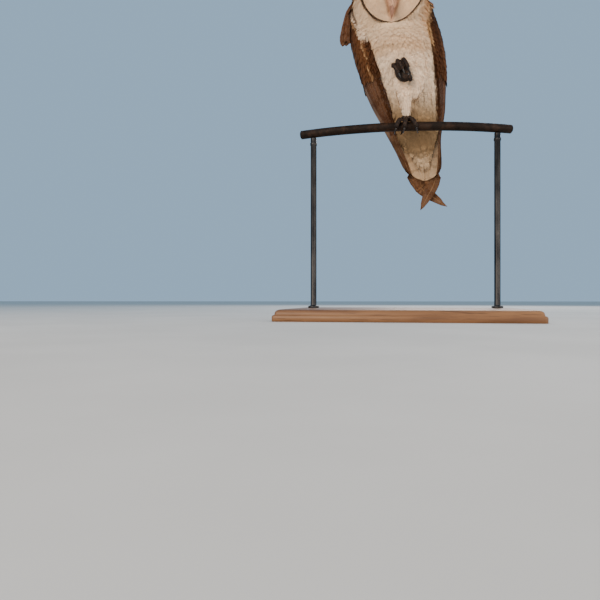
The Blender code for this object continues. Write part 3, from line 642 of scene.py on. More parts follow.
class WingSheet:
    """The outer surface of one folded wing, read by height and by the part of the way round
    from its front edge to the middle of the back."""

    LEVELS, PARTS = 48, 25
    LAST_TURN = 3.10

    def __init__(self, side):
        self.sign = 1 if side == "left" else -1
        names = [part + "_" + side for part in ("wing_coverts", "scapulars", "secondaries",
                                                "primaries")]
        self.hunt, _ = tree_of(names)
        low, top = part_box("tail")[0].z + 0.001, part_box(names[0])[1].z - 0.0015
        self.levels = np.linspace(low, top, self.LEVELS)
        self.grid = grid = np.empty((self.LEVELS, self.PARTS, 3))
        for i, level in enumerate(self.levels):
            here = [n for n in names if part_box(n)[0].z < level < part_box(n)[1].z]
            turn = self.sign * round_turn(cut_points(here, level))
            turn = np.where(turn < -1.5, turn + 2 * math.pi, turn)
            first, last = turn.min() + 0.04, min(turn.max(), self.LAST_TURN)
            mid = spine_at(np.array([level]))[0]
            for j, part in enumerate(np.linspace(0, 1, self.PARTS)):
                t = first + (last - first) * part
                way = Vector((self.sign * math.sin(t) * mid[2], -math.cos(t) * mid[3], 0))
                way.normalize()
                start = Vector((mid[0], mid[1], level)) + way * 0.3
                hit = self.hunt.ray_cast(start, -way)[0]
                grid[i, j] = hit or self.hunt.find_nearest(start - way * 0.24)[0]
        for _ in range(4):
            grid[1:-1] += 0.25 * (grid[2:] + grid[:-2] - 2 * grid[1:-1])
            grid[:, 1:-1] += 0.25 * (grid[:, 2:] + grid[:, :-2] - 2 * grid[:, 1:-1])
        self.arcs = np.linalg.norm(np.diff(grid, axis=1), axis=2).sum(1)
        self.turns = self.sign * round_turn(grid[:, 0])

    def far(self, places):
        """How far places lie from the wing."""
        return np.array([self.hunt.find_nearest(place)[3] for place in places])

    def part(self, places):
        """How far round the wing places lie, from its front edge to the middle of the back."""
        first = np.interp(places[:, 2], self.levels, self.turns)
        return (self.sign * round_turn(places) - first) / (self.LAST_TURN - first)

    def covered(self, part, level):
        """Where the body's own feathers lie over the wing's front edge."""
        high = level - OWL.z
        if self.sign > 0:
            return (1 - rise(part, -0.02, 0.02)) * rise(high, 0.150, 0.170)
        edge = 0.045 - 1.5 * (high - 0.13)
        return (1 - rise(part, edge - 0.015, edge + 0.015)) * rise(high, 0.124, 0.134)

    def arc(self, level):
        """Length round the sheet from its front edge to the middle of the back."""
        return np.interp(level, self.levels, self.arcs)

    def at(self, level, part):
        """Places on the sheet for arrays of heights and parts."""
        rows, columns = self.LEVELS - 1, self.PARTS - 1
        i = np.clip(np.interp(level, self.levels, np.arange(self.LEVELS)), 0, rows - 0.001)
        j = np.clip(np.asarray(part) * columns, -1.5, columns)   # goes on past the front edge
        i0, j0 = i.astype(int), np.clip(j, 0, columns - 1).astype(int)
        fi, fj = (i - i0)[:, None], (j - j0)[:, None]
        g = self.grid
        return ((g[i0, j0] * (1 - fi) + g[i0 + 1, j0] * fi) * (1 - fj)
                + (g[i0, j0 + 1] * (1 - fi) + g[i0 + 1, j0 + 1] * fi) * fj)

    def out(self, level, part):
        """Outward directions of the sheet at the same places."""
        steep = self.at(level + 0.004, part) - self.at(level - 0.004, part)
        round_way = self.at(level, part + 0.03) - self.at(level, part - 0.03)
        return unit(np.cross(round_way, steep)) * self.sign


def wing_colour(part, level, sheet):
    """Feather colour across a wing: dark front band, pale streak, brown side, gold back."""
    high = level - OWL.z
    shade = mixed(BROWN, GOLD * 0.90, rise(part, 0.24, 0.48))
    if sheet.sign < 0:
        edge = 0.036 - 0.036 * rise(high, 0.09, 0.11)
        dark = 1 - rise(part, edge, edge + 0.012)
        pale = np.exp(-((part - edge - 0.032) / 0.008) ** 2) * rise(high, 0.062, 0.085) * 0.80
    else:
        dark = 1 - rise(part, 0.07, 0.11)
        pale = np.exp(-((part + 0.028) / 0.010) ** 2) * rise(high, 0.105, 0.12)
    shade = mixed(shade, DARK, 0.85 * dark)
    shade = mixed(shade, BUFF * 0.9, 0.85 * pale)
    return mixed(shade, OCHRE * 0.9 if sheet.sign > 0 else WHITE,
                 0.9 * sheet.covered(part, level))


sheets = {side: WingSheet(side) for side in ("right", "left")}
tint, upper = markings(spots, kinds)
on_trunk = np.isin(kinds, ("trunk", "neck"))
wing_far, wing_part, covered = (np.full(len(spots), value) for value in (1.0, 1.0, 0.0))
for side, sheet in sheets.items():
    near = (np.char.endswith(where, side) & on_wing) | (on_trunk & (turns * sheet.sign > 0))
    near &= (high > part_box("secondaries_" + side)[0].z - OWL.z)
    wing_far[near] = sheet.far(spots[near])
    wing_part[near] = sheet.part(spots[near])
    part = np.where(on_trunk, -0.03, wing_part)
    close = near & (on_wing | ((wing_far < 0.0045) & (np.abs(turns) < 1.7)))
    tint[close] = wing_colour(part[close], spots[close, 2], sheet)
    covered[near & on_wing] = sheet.covered(part, spots[:, 2])[near & on_wing]
tint = even_out(tint, edges, 2)


def store(mesh, **fields):
    """Write per-vertex attributes: numbers, vectors, or the tint with a full alpha."""
    for name, values in fields.items():
        values = np.asarray(values, dtype=np.float32)
        kind, slot = ("FLOAT", "value") if values.ndim == 1 else ("FLOAT_VECTOR", "vector")
        if name == "tint":
            kind, slot = "FLOAT_COLOR", "color"
            values = np.insert(values, 3, 1.0, axis=1)
        mesh.attributes.new(name, kind, "POINT").data.foreach_set(slot, values.ravel())


def body_map(places, area):
    """Unwrap of the skin: round the body by height, the head and disc as rings round the
    face, and each leg round its own middle, each in its own part of the square."""
    if area in ("disc", "head"):
        rows = to_face(places)
        reach = np.hypot(rows[:, 0], rows[:, 1])
        turn = np.arctan2(rows[:, 1], rows[:, 0])
        if area == "disc":
            out, mid = reach / 0.052 * 0.10, (0.13, 0.87)
        else:
            out, mid = 0.025 + np.clip(-rows[:, 2], 0, 0.10) / 0.10 * 0.085, (0.40, 0.87)
        return np.stack([mid[0] + out * np.cos(turn), mid[1] + out * np.sin(turn)], 1)
    if area == "leg":
        turn = np.arctan2(places[:, 0] - places[:, 0].mean(), -places[:, 1] - 0.01)
        rows = (places[:, 2] - OWL.z + 0.02) / 0.14
        return np.stack([0.62 + turn / math.pi * 0.09, 0.77 + np.clip(rows, 0, 1) * 0.20], 1)
    low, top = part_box("primaries_left")[0].z - 0.002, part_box("head")[1].z + 0.002
    rows = np.clip((places[:, 2] - low) / (top - low), 0, 1)
    return np.stack([0.5 + round_turn(places) / math.pi * 0.48, 0.01 + rows * 0.72], 1)


def bake_map(mesh, places):
    """Write one place in the square for each vertex as the mesh's OFBake map."""
    corners = fetch(mesh.loops, "vertex_index", 1, int)
    bake = mesh.uv_layers.new(name="OFBake")
    bake.data.foreach_set("uv", places[corners].astype(np.float32).ravel())


def field(tree, name, out="Fac"):
    """A mesh attribute, in a material."""
    return add(tree, "ShaderNodeAttribute", out=out, attribute_name=name)


skin_finish, tree = new_finish("feathered_skin", Roughness=0.9)
fuzz = grain(tree, 700.0, 4.0, (1, 1, 0.25)) * 0.5 + 0.62
paint(blend(field(tree, "tint", "Color"), fuzz, 1.0, "MULTIPLY"))
relief(fuzz, 0.0004, 0.8)
store(skin_mesh, tint=tint)
skin_faces = np.array([face.vertices[:] for face in skin_mesh.polygons])
bake_map(skin_mesh, body_map(spots, "body"))
keep("skin", skin_mesh, skin_finish, *FLESH)

# ------------------------------------------------------------------ 6. underparts
# Long soft white feathers with loose tips cover the breast, belly and flanks.  They overlap
# like tiles, and longer and downier ones lie towards the tail.


def feather_finish(name, barb=0.5, gloss=0.75, mottled=False, bars=0.0, drop=False, top=0.0):
    """Barbed vane with a paler shaft, which reads the feather's own tint and its places along
    and across.  It may have the mottling and pale-cored drops of the back, the dark bars of
    flight feathers, one tiny dark drop near the tip, and a golden upper side."""
    made, tree = new_finish(name, Roughness=gloss, Specular_IOR_Level=0.10)
    along, aside = field(tree, "along"), field(tree, "aside")
    out = aside.math("ABSOLUTE")
    barbs = (out * 9.0 + along * -44.0).math("SINE")
    cloud = grain(tree, 420.0, 3.0)
    colour = blend(field(tree, "tint", "Color"), barbs * 0.035 + (cloud * 0.30 + 0.84), 1.0,
                   "MULTIPLY")
    if mottled:
        mark = field(tree, "mark")
        mottle = fade(grain(tree, 330.0, 5.0, roughness=0.7), 0.40, 0.57)
        colour = blend(colour, GREY, mottle * (mark * 0.8))
        stain = (aside * 4.4) ** 2.0 + ((along - 0.83) * 10.0) ** 2.0
        stain = grain(tree, 130.0, 1.0) * 2.4 + (stain - 1.05)
        colour = blend(colour, DARK, mark * fade(stain, 0.60, 0.95, 1.0, 0.0) * 0.60)
        colour = blend(colour, CREAM, mark * fade(stain, 0.10, 0.26, 1.0, 0.0) * 0.8)
    if top:
        colour = blend(colour, GOLD, field(tree, "top") * top)
    if bars:
        mottle = fade(grain(tree, 700.0, 5.0, (1, 1, 0.4), 0.7), 0.42, 0.60)
        colour = blend(colour, GREY, mottle * (bars * 0.5))
        wave = along * (2 * math.pi * 4.6) + field(tree, "mark") * 2.4
        wave = (grain(tree, 110.0, 4.0) * 4.5 + wave).math("SINE")
        colour = blend(colour, DARK, fade(wave, 0.55, 0.85) * bars)
    if drop:
        far = (aside * 3.2) ** 2.0 + ((along - 0.86) * 13.0) ** 2.0
        colour = blend(colour, DARK, field(tree, "mark") * fade(far, 0.5, 1.0, 1.0, 0.0))
    paint(blend(colour, BUFF, fade(out, 0.03, 0.10, 1.0, 0.0) * 0.25))
    relief(barbs * barb + cloud, 0.00012, 0.5)
    return made


def vane(name, columns, stations, barb_out=0.16, camber=0.20, arch=1.0, seed=1, blunt=0.0):
    """One feather as a thin sheet, one unit long and wide: root at the origin, lying along
    +Y, hollow below, its tip parted into barbs, pointed or blunt."""
    chance = np.random.default_rng(seed)
    verts, along, aside, faces = [], [], [], []
    for t, half in stations:
        for c in range(columns + 1):
            u = -1 + 2 * c / columns
            verts.append((u * half, t * (1 - 0.05 * u * u),
                          arch * (1.9 * t - 0.9 * t * t) - camber * (u * half) ** 2))
            along.append(t)
            aside.append(u)
    for row in range(len(stations) - 1):
        for c in range(columns):
            a = row * (columns + 1) + c
            faces.append((a, a + 1, a + columns + 2, a + columns + 1))
    base = (len(stations) - 1) * (columns + 1)
    t_end, half = stations[-1]
    for c in range(columns):
        u = -1 + 2 * (c + 0.5) / columns
        t = t_end + barb_out * (1 - 0.75 * u * u) * chance.uniform(0.62, 1.25)
        middle = (u * 0.96 + chance.uniform(-0.5, 0.5) / columns) * half
        tip = []
        for step in ((-blunt, blunt) if blunt else (0.0,)):
            x = middle + step * half / columns
            tip.append(len(verts))
            verts.append((x, t - abs(step) * 0.02 * (step > 0),
                          arch * (1.9 * t - 0.9 * t * t) - camber * x * x))
            along.append(t)
            aside.append(u)
        faces.append((base + c, base + c + 1, *tip[::-1]))
    mesh = bpy.data.meshes.new(name)
    mesh.from_pydata(verts, [], faces)
    store(mesh, along=along, aside=aside)
    mesh.shade_smooth()
    return bpy.data.objects.new(name, mesh)


def new_tree(name, *inputs):
    """A Geometry Nodes tree with named inputs, and those inputs as wires."""
    tree = bpy.data.node_groups.new(name, "GeometryNodeTree")
    for label, kind in inputs:
        tree.interface.new_socket(label, in_out="INPUT", socket_type="NodeSocket" + kind)
    tree.interface.new_socket("Feathers", in_out="OUTPUT", socket_type="NodeSocketGeometry")
    given = tree.nodes.new("NodeGroupInput").outputs
    return tree, [Wire(given[label]) for label, kind in inputs]


def end_tree(tree, made, finish):
    """The end of a tree: the feathers are made real and get their finish."""
    real = add(tree, "GeometryNodeRealizeInstances", {"Geometry": made})
    done = add(tree, "GeometryNodeSetMaterial", {"Geometry": real, "Material": finish})
    tree.links.new(done.socket, tree.nodes.new("NodeGroupOutput").inputs["Feathers"])
    return tree


def named(tree, attribute, kind="FLOAT_VECTOR"):
    """A mesh attribute, in Geometry Nodes."""
    return add(tree, "GeometryNodeInputNamedAttribute", {"Name": attribute}, data_type=kind)


def laying_tree(name, strewn):
    """Geometry Nodes that lay a feather at each root: turned to its lie, sized for its place
    and a little uneven.  Strewn roots are spread over the ground; otherwise they are given."""
    tree, (roots, feather, finish, spacing, size_spread, turn_spread, seed) = new_tree(
        name, ("Ground", "Geometry"), ("Feather", "Object"), ("Finish", "Material"),
        ("Spacing", "Float"), ("Size spread", "Float"), ("Turn spread", "Float"), ("Seed", "Int"))
    if strewn:
        crowd = add(tree, "ShaderNodeMath", {0: 1.6, 1: spacing ** 2.0}, operation="DIVIDE")
        roots = add(tree, "GeometryNodeDistributePointsOnFaces", {
            "Mesh": roots, "Distance Min": spacing, "Density Max": crowd, "Seed": seed},
            distribute_method="POISSON")
    chance = add(tree, "FunctionNodeRandomValue", {2: 0.15, 3: 1.0, "Seed": seed}, 1,
                 data_type="FLOAT")
    for label, kind, value in (("mark", "FLOAT", named(tree, "mark", "FLOAT") * chance),
                               ("root", "FLOAT_VECTOR", add(tree, "GeometryNodeInputPosition"))):
        roots = add(tree, "GeometryNodeStoreNamedAttribute", {
            "Geometry": roots, "Name": label, "Value": value}, data_type=kind, domain="POINT")
    turned = add(tree, "FunctionNodeAxesToRotation", {
        "Primary Axis": named(tree, "face"), "Secondary Axis": named(tree, "lie")},
        primary_axis="Z", secondary_axis="Y")
    laid = add(tree, "GeometryNodeInstanceOnPoints", {
        "Points": roots, "Rotation": turned, "Scale": named(tree, "size"),
        "Instance": add(tree, "GeometryNodeObjectInfo", {"Object": feather}, "Geometry")})
    back = turn_spread * -1.0
    least = add(tree, "ShaderNodeCombineXYZ", {0: back * 0.5, 1: back, 2: back})
    most = add(tree, "ShaderNodeCombineXYZ", {0: turn_spread, 1: turn_spread, 2: turn_spread})
    sway = add(tree, "FunctionNodeRandomValue", {0: least, 1: most, "Seed": seed},
               data_type="FLOAT_VECTOR")
    laid = add(tree, "GeometryNodeRotateInstances", {"Instances": laid, "Rotation": sway})
    small = add(tree, "ShaderNodeMath", {0: 1.0, 1: size_spread}, operation="SUBTRACT")
    grow = add(tree, "FunctionNodeRandomValue", {2: small, 3: size_spread + 1.0, "Seed": seed}, 1,
               data_type="FLOAT")
    laid = add(tree, "GeometryNodeScaleInstances", {"Instances": laid, "Scale": grow})
    return end_tree(tree, laid, finish)


STREWN = laying_tree("strewn_feathers", True)
SET = laying_tree("set_feathers", False)


def lay(name, ground, tree, area, replaced, **inputs):
    """Run a laying tree on its ground, and keep the feathers as one piece with its map."""
    labels = {item.name: item.identifier for item in tree.interface.items_tree
              if item.in_out == "INPUT"}
    mesh = evaluated(ground, "NODES", {labels[label.replace("_", " ")]: value
                                       for label, value in inputs.items()}, node_group=tree)
    root, along, aside = [fetch(mesh.attributes[label].data, slot, width) for label, slot, width
                          in (("root", "vector", 3), ("along", "value", 1), ("aside", "value", 1))]
    bake_map(mesh, body_map(root, area) + np.stack([aside * 0.0015, (along - 0.5) * 0.003], 1))
    for spare in ("root", "lie", "face", "size"):
        if spare in mesh.attributes:
            mesh.attributes.remove(mesh.attributes[spare])
    mesh.name = name
    keep(name, mesh, None, *replaced)


def strew(name, inside, half, long, lift, feather, finish, spacing, spreads, seed, area="body"):
    """Strew feathers of one size, or of a size for each vertex, over the part of the skin
    whose vertices lie inside.  Spreads are how uneven their size and their turn are."""
    faces = skin_faces[inside[skin_faces].all(1)]
    used, corners = np.unique(faces, return_inverse=True)
    ground = bpy.data.meshes.new("ground")
    ground.from_pydata(spots[used].tolist(), [], corners.reshape(faces.shape).tolist())
    size = np.stack([value + 0 * high for value in (half, long, lift)], 1)
    store(ground, size=size[used], lie=lie[used], face=normals[used], tint=tint[used],
          mark=upper[used])
    lay(name, ground, STREWN, area, (), Feather=feather, Finish=finish, Spacing=spacing,
        Size_spread=spreads[0], Turn_spread=spreads[1], Seed=seed)


def set_rows(name, rows, finish, feather, area="body", replaced=(), spreads=(0.10, 0.07), seed=51):
    """Lay given feathers, a list of rows of root, lie, out, size, tint and mark."""
    roots, lies, outs, sizes, tints, marks = [np.concatenate(column) for column in zip(*rows)]
    ground = bpy.data.meshes.new("roots")
    ground.from_pydata(roots.tolist(), [], [])
    store(ground, lie=lies, face=outs, size=sizes, tint=tints, mark=marks)
    lay(name, ground, SET, area, replaced, Feather=feather, Finish=finish,
        Size_spread=spreads[0], Turn_spread=spreads[1], Seed=seed)


SOFT_VANE = vane("soft_vane", 10, [(0.0, 0.22), (0.54, 1.0)], 0.46, 0.10, seed=3, blunt=0.5)
DOWNY_VANE = vane("downy_vane", 10, [(0.0, 0.22), (0.62, 1.0)], 0.38, 0.10, seed=4, blunt=0.4)
soft_finish = feather_finish("soft_white_vane", barb=0.6, gloss=0.85)
# Skin that is clear of the wings, and the parts of it that the breast and belly cover.
clear = (wing_far > 0.0035) | ((turns > 0) & (high < 0.072)) | (high > 0.165) | (
    (high < 0.012) & (wing_far > 0.0018))
under = ((on_trunk & clear) | (covered > 0.5)) & (np.abs(turns) < 2.1)
breast = under & (high > 0.055)
belly = under & (high <= 0.058) & (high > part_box("trunk")[0].z - OWL.z + 0.006)
strew("breast_feathers", breast, 0.0028, 0.0112 - 0.003 * rise(high, 0.11, 0.15), 0.0025,
      SOFT_VANE, soft_finish, 0.0014, (0.28, 0.15), 31)
strew("belly_feathers", belly, 0.0024, 0.0120 + 0.0080 * rise(-high, 0.015, 0.05), 0.0022,
      DOWNY_VANE, soft_finish, 0.0013, (0.25, 0.13), 32)

# ------------------------------------------------------------------ 7. legs' feathering
# Short white feathers, narrow and soft, sleeve the standing leg down to the foot and cover
# the tucked leg.
NARROW_VANE = vane("narrow_vane", 5, [(0.0, 0.30), (0.40, 1.0), (0.62, 0.9)], 0.40, 0.10, seed=5)
strew("leg_feathers", np.isin(kinds, LEG_KINDS), 0.0015, 0.0075, 0.0015, NARROW_VANE, soft_finish,
      0.0011, (0.25, 0.20), 41, "leg")

# ------------------------------------------------------------------ 8. head and back
# Small close feathers, buff-gold with fine grey mottling and a drop at each tip, cover the
# crown, nape and back.  On the cheeks behind the ruff they are white.
CLOSE_VANE = vane("close_vane", 4, [(0.0, 0.30), (0.30, 0.85), (0.66, 1.0), (0.88, 0.72)], 0.14,
                  0.14, seed=7)
back_finish = feather_finish("mottled_gold_vane", barb=0.6, gloss=0.78, mottled=True, drop=True)
strew("head_feathers", kinds == "head", 0.0025, 0.0062 + 0.0022 * rise(-face[:, 2], 0.02, 0.07),
      0.0020, CLOSE_VANE, back_finish, 0.0018, (0.22, 0.14), 42, "head")
hind = on_trunk & (np.abs(turns) > 1.7) & ((high > 0.12) | (wing_far > 0.0025))
hind |= on_wing & (wing_part > 0.90) & (high < 0.045)
strew("back_feathers", hind, 0.0036, 0.0115, 0.0026, CLOSE_VANE, back_finish, 0.0028,
      (0.20, 0.14), 43)

# A few breast feathers end in a tiny dark drop, and a few under the tail in a fainter one.
DROPS = (              # where, how many, size, and least and greatest strength
    (breast & (np.abs(turns) < 1.0) & (high < 0.155), 70, (0.0019, 0.0088, 0.0036), 0.5, 1.0),
    (belly & (np.abs(turns) < 0.8) & (high < -0.018), 9, (0.0038, 0.0125, 0.0042), 0.25, 0.5),
)
luck = np.random.default_rng(21)
rows = []
for inside, count, size, least, most in DROPS:
    pick = luck.choice(np.flatnonzero(inside), count)
    rows.append((spots[pick], lie[pick], normals[pick], np.tile(size, (count, 1)), tint[pick],
                 luck.uniform(least, most, count)))
set_rows("breast_drops", rows, feather_finish("dark_drop_vane", barb=0.6, gloss=0.85, drop=True),
         CLOSE_VANE)

# ------------------------------------------------------------------ 9. facial disc
# Two dished halves of fine, stiff, hair-like white feathers that fan out from each eye, with
# a rufous stain in front of the eyes and a narrow ridge between them running to the bill.
BRISTLE = vane("bristle", 3, [(0.0, 0.5), (0.45, 1.0)], 0.6, 0.05, arch=0.7, seed=9)
disc_finish = feather_finish("disc_bristle", barb=0.3, gloss=0.85)
eye_far = np.hypot(near_eye[:, 0], near_eye[:, 1])
LID_REACH = 0.0058             # bare skin round each eye, under the lids
strew("disc_feathers", (kinds == "facial_disc") & (eye_far > LID_REACH), 0.00055,
      0.0028 + 0.0034 * rise(eye_far, 0.007, 0.020), 0.0009, BRISTLE, disc_finish, 0.00072,
      (0.30, 0.13), 44, "disc")

# The ruff: rows of short, stiff, curved feathers with dark tips set round the disc's edge.
RUFF_VANE = vane("ruff_vane", 4, [(0.0, 0.5), (0.35, 0.95), (0.75, 1.0), (0.92, 0.7)], 0.08, 0.3,
                 seed=10)
RUFF_ROWS = (          # reach, depth, lean out, length, half width, count, dark tip
    (0.988, -0.0028, 0.16, 0.0042, 0.00095, 330, 1.40),
    (1.002, -0.0042, 0.22, 0.0050, 0.00115, 290, 1.35),
    (1.014, -0.0062, 0.30, 0.0056, 0.00120, 270, 1.00),
    (1.018, -0.0086, 0.36, 0.0066, 0.00155, 250, 0.45),
    (1.019, -0.0108, 0.38, 0.0070, 0.00170, 240, 0.25),
    (1.020, -0.0130, 0.40, 0.0072, 0.00170, 240, 0.15),
    (1.020, -0.0150, 0.46, 0.0070, 0.00170, 240, 0.0),
)
rows = []
for row, (reach, sink, lean, long, half, count, darkness) in enumerate(RUFF_ROWS):
    turn = (np.arange(count) + 0.5 * (row % 2)) / count * 2 * math.pi - math.pi
    turn += luck.uniform(-0.3, 0.3, count) * 2 * math.pi / count
    flat = np.stack([np.cos(turn), np.sin(turn), 0 * turn], 1)
    way = unit(flat * lean + (0, 0, 1.0))
    under_chin = np.exp(-((turn + math.pi / 2) / 0.07) ** 2)
    warm = 0.85 * rise(np.sin(turn), -0.45, 0.35)
    rows.append((from_face(flat * disc_reach(turn)[:, None] * reach + (0, 0, sink)),
                 way @ FACE_AXES, flatten_to(flat, way) @ FACE_AXES,
                 np.tile((half, long, half * 0.5), (count, 1)),
                 mixed(WHITE, mixed(BUFF, GOLD, 0.5 * (row > 2)), warm),
                 np.clip(darkness * (1 - 0.9 * under_chin) * luck.uniform(0.8, 1.2, count), 0, 2)))
ruff_finish, tree = new_finish("ruff_vane", Roughness=0.75, Specular_IOR_Level=0.25)
tips = (field(tree, "mark") * 1.5).math("MINIMUM", 1.0) * fade(field(tree, "along"), 0.40, 0.66)
shade = blend(field(tree, "tint", "Color"), tone(72, 45, 27), tips)
paint(blend(shade, grain(tree, 900.0, 2.0) * 0.5 + 0.72, 1.0, "MULTIPLY"))
set_rows("ruff", rows, ruff_finish, RUFF_VANE, "disc", spreads=(0.15, 0.12), seed=45)

# ------------------------------------------------------------------ 10. eyes and lids
# Large dark brown, almost black eyeballs with a clear bulging cornea, set deep in the disc.
# A narrow bare lid with a low crease frames each one.
eye_finish, tree = new_finish("dark_eye", Roughness=0.12, Coat_Weight=1.0, Coat_Roughness=0.03)
paint(ramp(grain(tree, 500.0, 3.0), (0.35, tone(14, 8, 6)), (0.7, tone(34, 20, 14))))
lid_finish, tree = new_finish("lid_skin", Roughness=0.45)
paint(ramp(grain(tree, 900.0, 3.0), (0.3, tone(74, 52, 44)), (0.7, tone(112, 84, 72))))
relief(grain(tree, 1500.0, 3.0), 0.0001, 0.6)
EYE_RADIUS = (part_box("eye_left")[1].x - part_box("eye_left")[0].x) / 2
EYE_CAST = 0.12                # how far each eye looks outwards
CORNEA_RISE, CORNEA_TURN = 0.0007, 0.62
LID_TURN = math.radians(47)
EYE_ROWS, EYE_SIDES, LID_STEPS, LID_SIDES = 40, 48, 56, 10
for side, sign in (("left", 1), ("right", -1)):
    look = (FORWARD + ACROSS * EYE_CAST * sign).normalized()
    tall = (UP - look * UP.dot(look)).normalized()
    wide = tall.cross(look)

    def on_eye(away, turn, reach):
        """A place at a turn away from the way the eye looks, and a turn round that way."""
        aim = look * math.cos(away) + (wide * math.cos(turn) + tall * math.sin(turn)) * math.sin(away)
        return eye_middles[side] + aim * reach

    rings = []
    for away in (math.pi * k / EYE_ROWS for k in range(1, EYE_ROWS)):
        bulge = EYE_RADIUS + CORNEA_RISE * max(0.0, 1 - (away / CORNEA_TURN) ** 2)
        rings.append([on_eye(away, turn, bulge) for turn in circle(EYE_SIDES)])
    keep("eyeball_" + side, skin_rings("eyeball_" + side, rings), eye_finish, "eye_" + side)
    rings = []
    for turn in circle(LID_STEPS):
        gap = LID_TURN * (1 - 0.10 * abs(math.sin(turn)) - 0.07 * max(math.sin(turn), 0))
        rings.append([on_eye(gap + 0.075 * math.cos(s) + 0.05, turn,
                             EYE_RADIUS + 0.00030
                             + 0.00048 * math.sin(s) * (1 + 0.25 * math.cos(s)))
                      for s in circle(LID_SIDES)])
    keep("lids_" + side, skin_rings("lids_" + side, rings, joined=True), lid_finish)

# ------------------------------------------------------------------ 11. bill
# Pinkish horn: a slender upper bill with slit nostrils, hooked down over the narrower lower
# bill.  Both are rooted in the disc.
UPPER_PATH = ((0, -0.0065, -0.0045), (0, -0.020, 0.0090), (0, -0.031, 0.0130),
              (0, -0.0405, 0.0105))
UPPER_RADII = (0.0052, 0.0050, 0.0046, 0.0040, 0.0034, 0.0026, 0.0017, 0.0006)
LOWER_PATH = ((0, -0.0225, -0.0055), (0, -0.031, 0.0045), (0, -0.0345, 0.0070))
LOWER_RADII = (0.0036, 0.0032, 0.0026, 0.0018, 0.0007)
BILL_ROWS, BILL_SIDES = 36, 32
NOSTRIL_ROW, NOSTRIL_TURN = 13.5, 0.72
BRISTLED_ROWS = 14
horn, tree = new_finish("pink_horn", Roughness=0.34, Specular_IOR_Level=0.5)
streaks = grain(tree, 260.0, 4.0, (2.5, 1, 0.4))
paint(ramp(streaks, (0.30, tone(132, 90, 70)), (0.55, tone(166, 120, 96)),
           (0.75, tone(188, 146, 120))))
relief(streaks, 0.0001, 0.5)


def smooth_line(points, count):
    """A smooth path through a few points, as rows."""
    points = np.array(points, float)
    slopes = np.gradient(points, axis=0)
    made = []
    for value in np.linspace(0, len(points) - 1, count):
        i = min(int(value), len(points) - 2)
        t = value - i
        made.append((2 * t**3 - 3 * t**2 + 1) * points[i] + (t**3 - 2 * t**2 + t) * slopes[i]
                    + (3 * t**2 - 2 * t**3) * points[i + 1] + (t**3 - t**2) * slopes[i + 1])
    return np.array(made)


top_rows = []
for name, solid, path, radii, deep, ridge in (
        ("bill_top", "bill_upper", UPPER_PATH, UPPER_RADII, 1.15, 0.10),
        ("bill_under", "bill_lower", LOWER_PATH, LOWER_RADII, 0.70, 0.0)):
    line = smooth_line(path, BILL_ROWS)
    sizes = np.interp(np.linspace(0, len(radii) - 1, BILL_ROWS), range(len(radii)), radii)
    rings = []
    for k, (spot, way) in enumerate(zip(line, unit(np.gradient(line, axis=0)))):
        deep_way = np.cross((1.0, 0, 0), way) * deep
        ring = []
        for t in circle(BILL_SIDES):
            crest = 1.0 + ridge * math.exp(-((t - math.pi / 2) / 0.5) ** 2)
            nostril = sum(math.exp(-((t - place) / 0.20) ** 2 - ((k - NOSTRIL_ROW) / 2.4) ** 2)
                          for place in (NOSTRIL_TURN, math.pi - NOSTRIL_TURN) if ridge)
            reach = sizes[k] * (0.97 - 0.22 * nostril)
            ring.append(tuple(from_face(spot + np.array((math.cos(t), 0, 0)) * reach
                                        - deep_way * math.sin(t) * reach * crest)))
        rings.append(ring)
        if ridge and k < BRISTLED_ROWS:
            top_rows += [(ring[j], way) for j in range(1, 16) if luck.random() < 0.85]
    keep(name, skin_rings(name, rings), horn, solid)

# Short bristles grow down over the base of the bill.
base, ahead = (np.array(rows) for rows in zip(*top_rows))
count = len(base)
away = unit(to_face(base) * (1.0, 0.0, 0.0) + (0, 0.002, 0.004))
ahead = unit(ahead + luck.normal(0, 0.10, (count, 3)) + to_face(base) * (30.0, 0, 0))
sizes = np.stack([np.full(count, 0.00040), luck.uniform(0.0040, 0.0062, count),
                  np.full(count, 0.0007)], 1)
set_rows("bill_bristles", [(
    base, ahead @ FACE_AXES, flatten_to(away, ahead) @ FACE_AXES, sizes,
    mixed(PINK, np.array(DISC_TONE), luck.uniform(0.1, 0.7, count)), np.zeros(count))],
    disc_finish, BRISTLE, "disc")

# ------------------------------------------------------------------ 12. folded wings
# Over each wing lie rows of coverts, small at the shoulder and longer below, with the broad
# scapulars on the back.  They are gold mottled with grey above, and dark brown along the
# front edge with one pale streak.
COVERT_VANE = vane("covert_vane", 6, [(0.0, 0.30), (0.25, 0.80), (0.55, 1.0), (0.80, 0.86),
                                      (0.93, 0.52)], 0.06, 0.16, seed=12)
COVERT_ZONES = (       # piece, solid, and zones: start and end round the wing, width, length
    ("coverts_", "wing_coverts_", ((-0.035, 0.20, 0.44, 0.90), (0.20, 0.73, 0.95, 1.0))),
    ("scapular_feathers_", "scapulars_", ((0.73, 1.0, 1.0, 1.15),)),
)
COVERT_LENGTH, COVERT_GROWTH = 0.0080, 0.0140      # at the shoulder, and more lower down
COVERT_HALF, COVERT_STEP = 0.34, 0.36              # half width and row step, in lengths


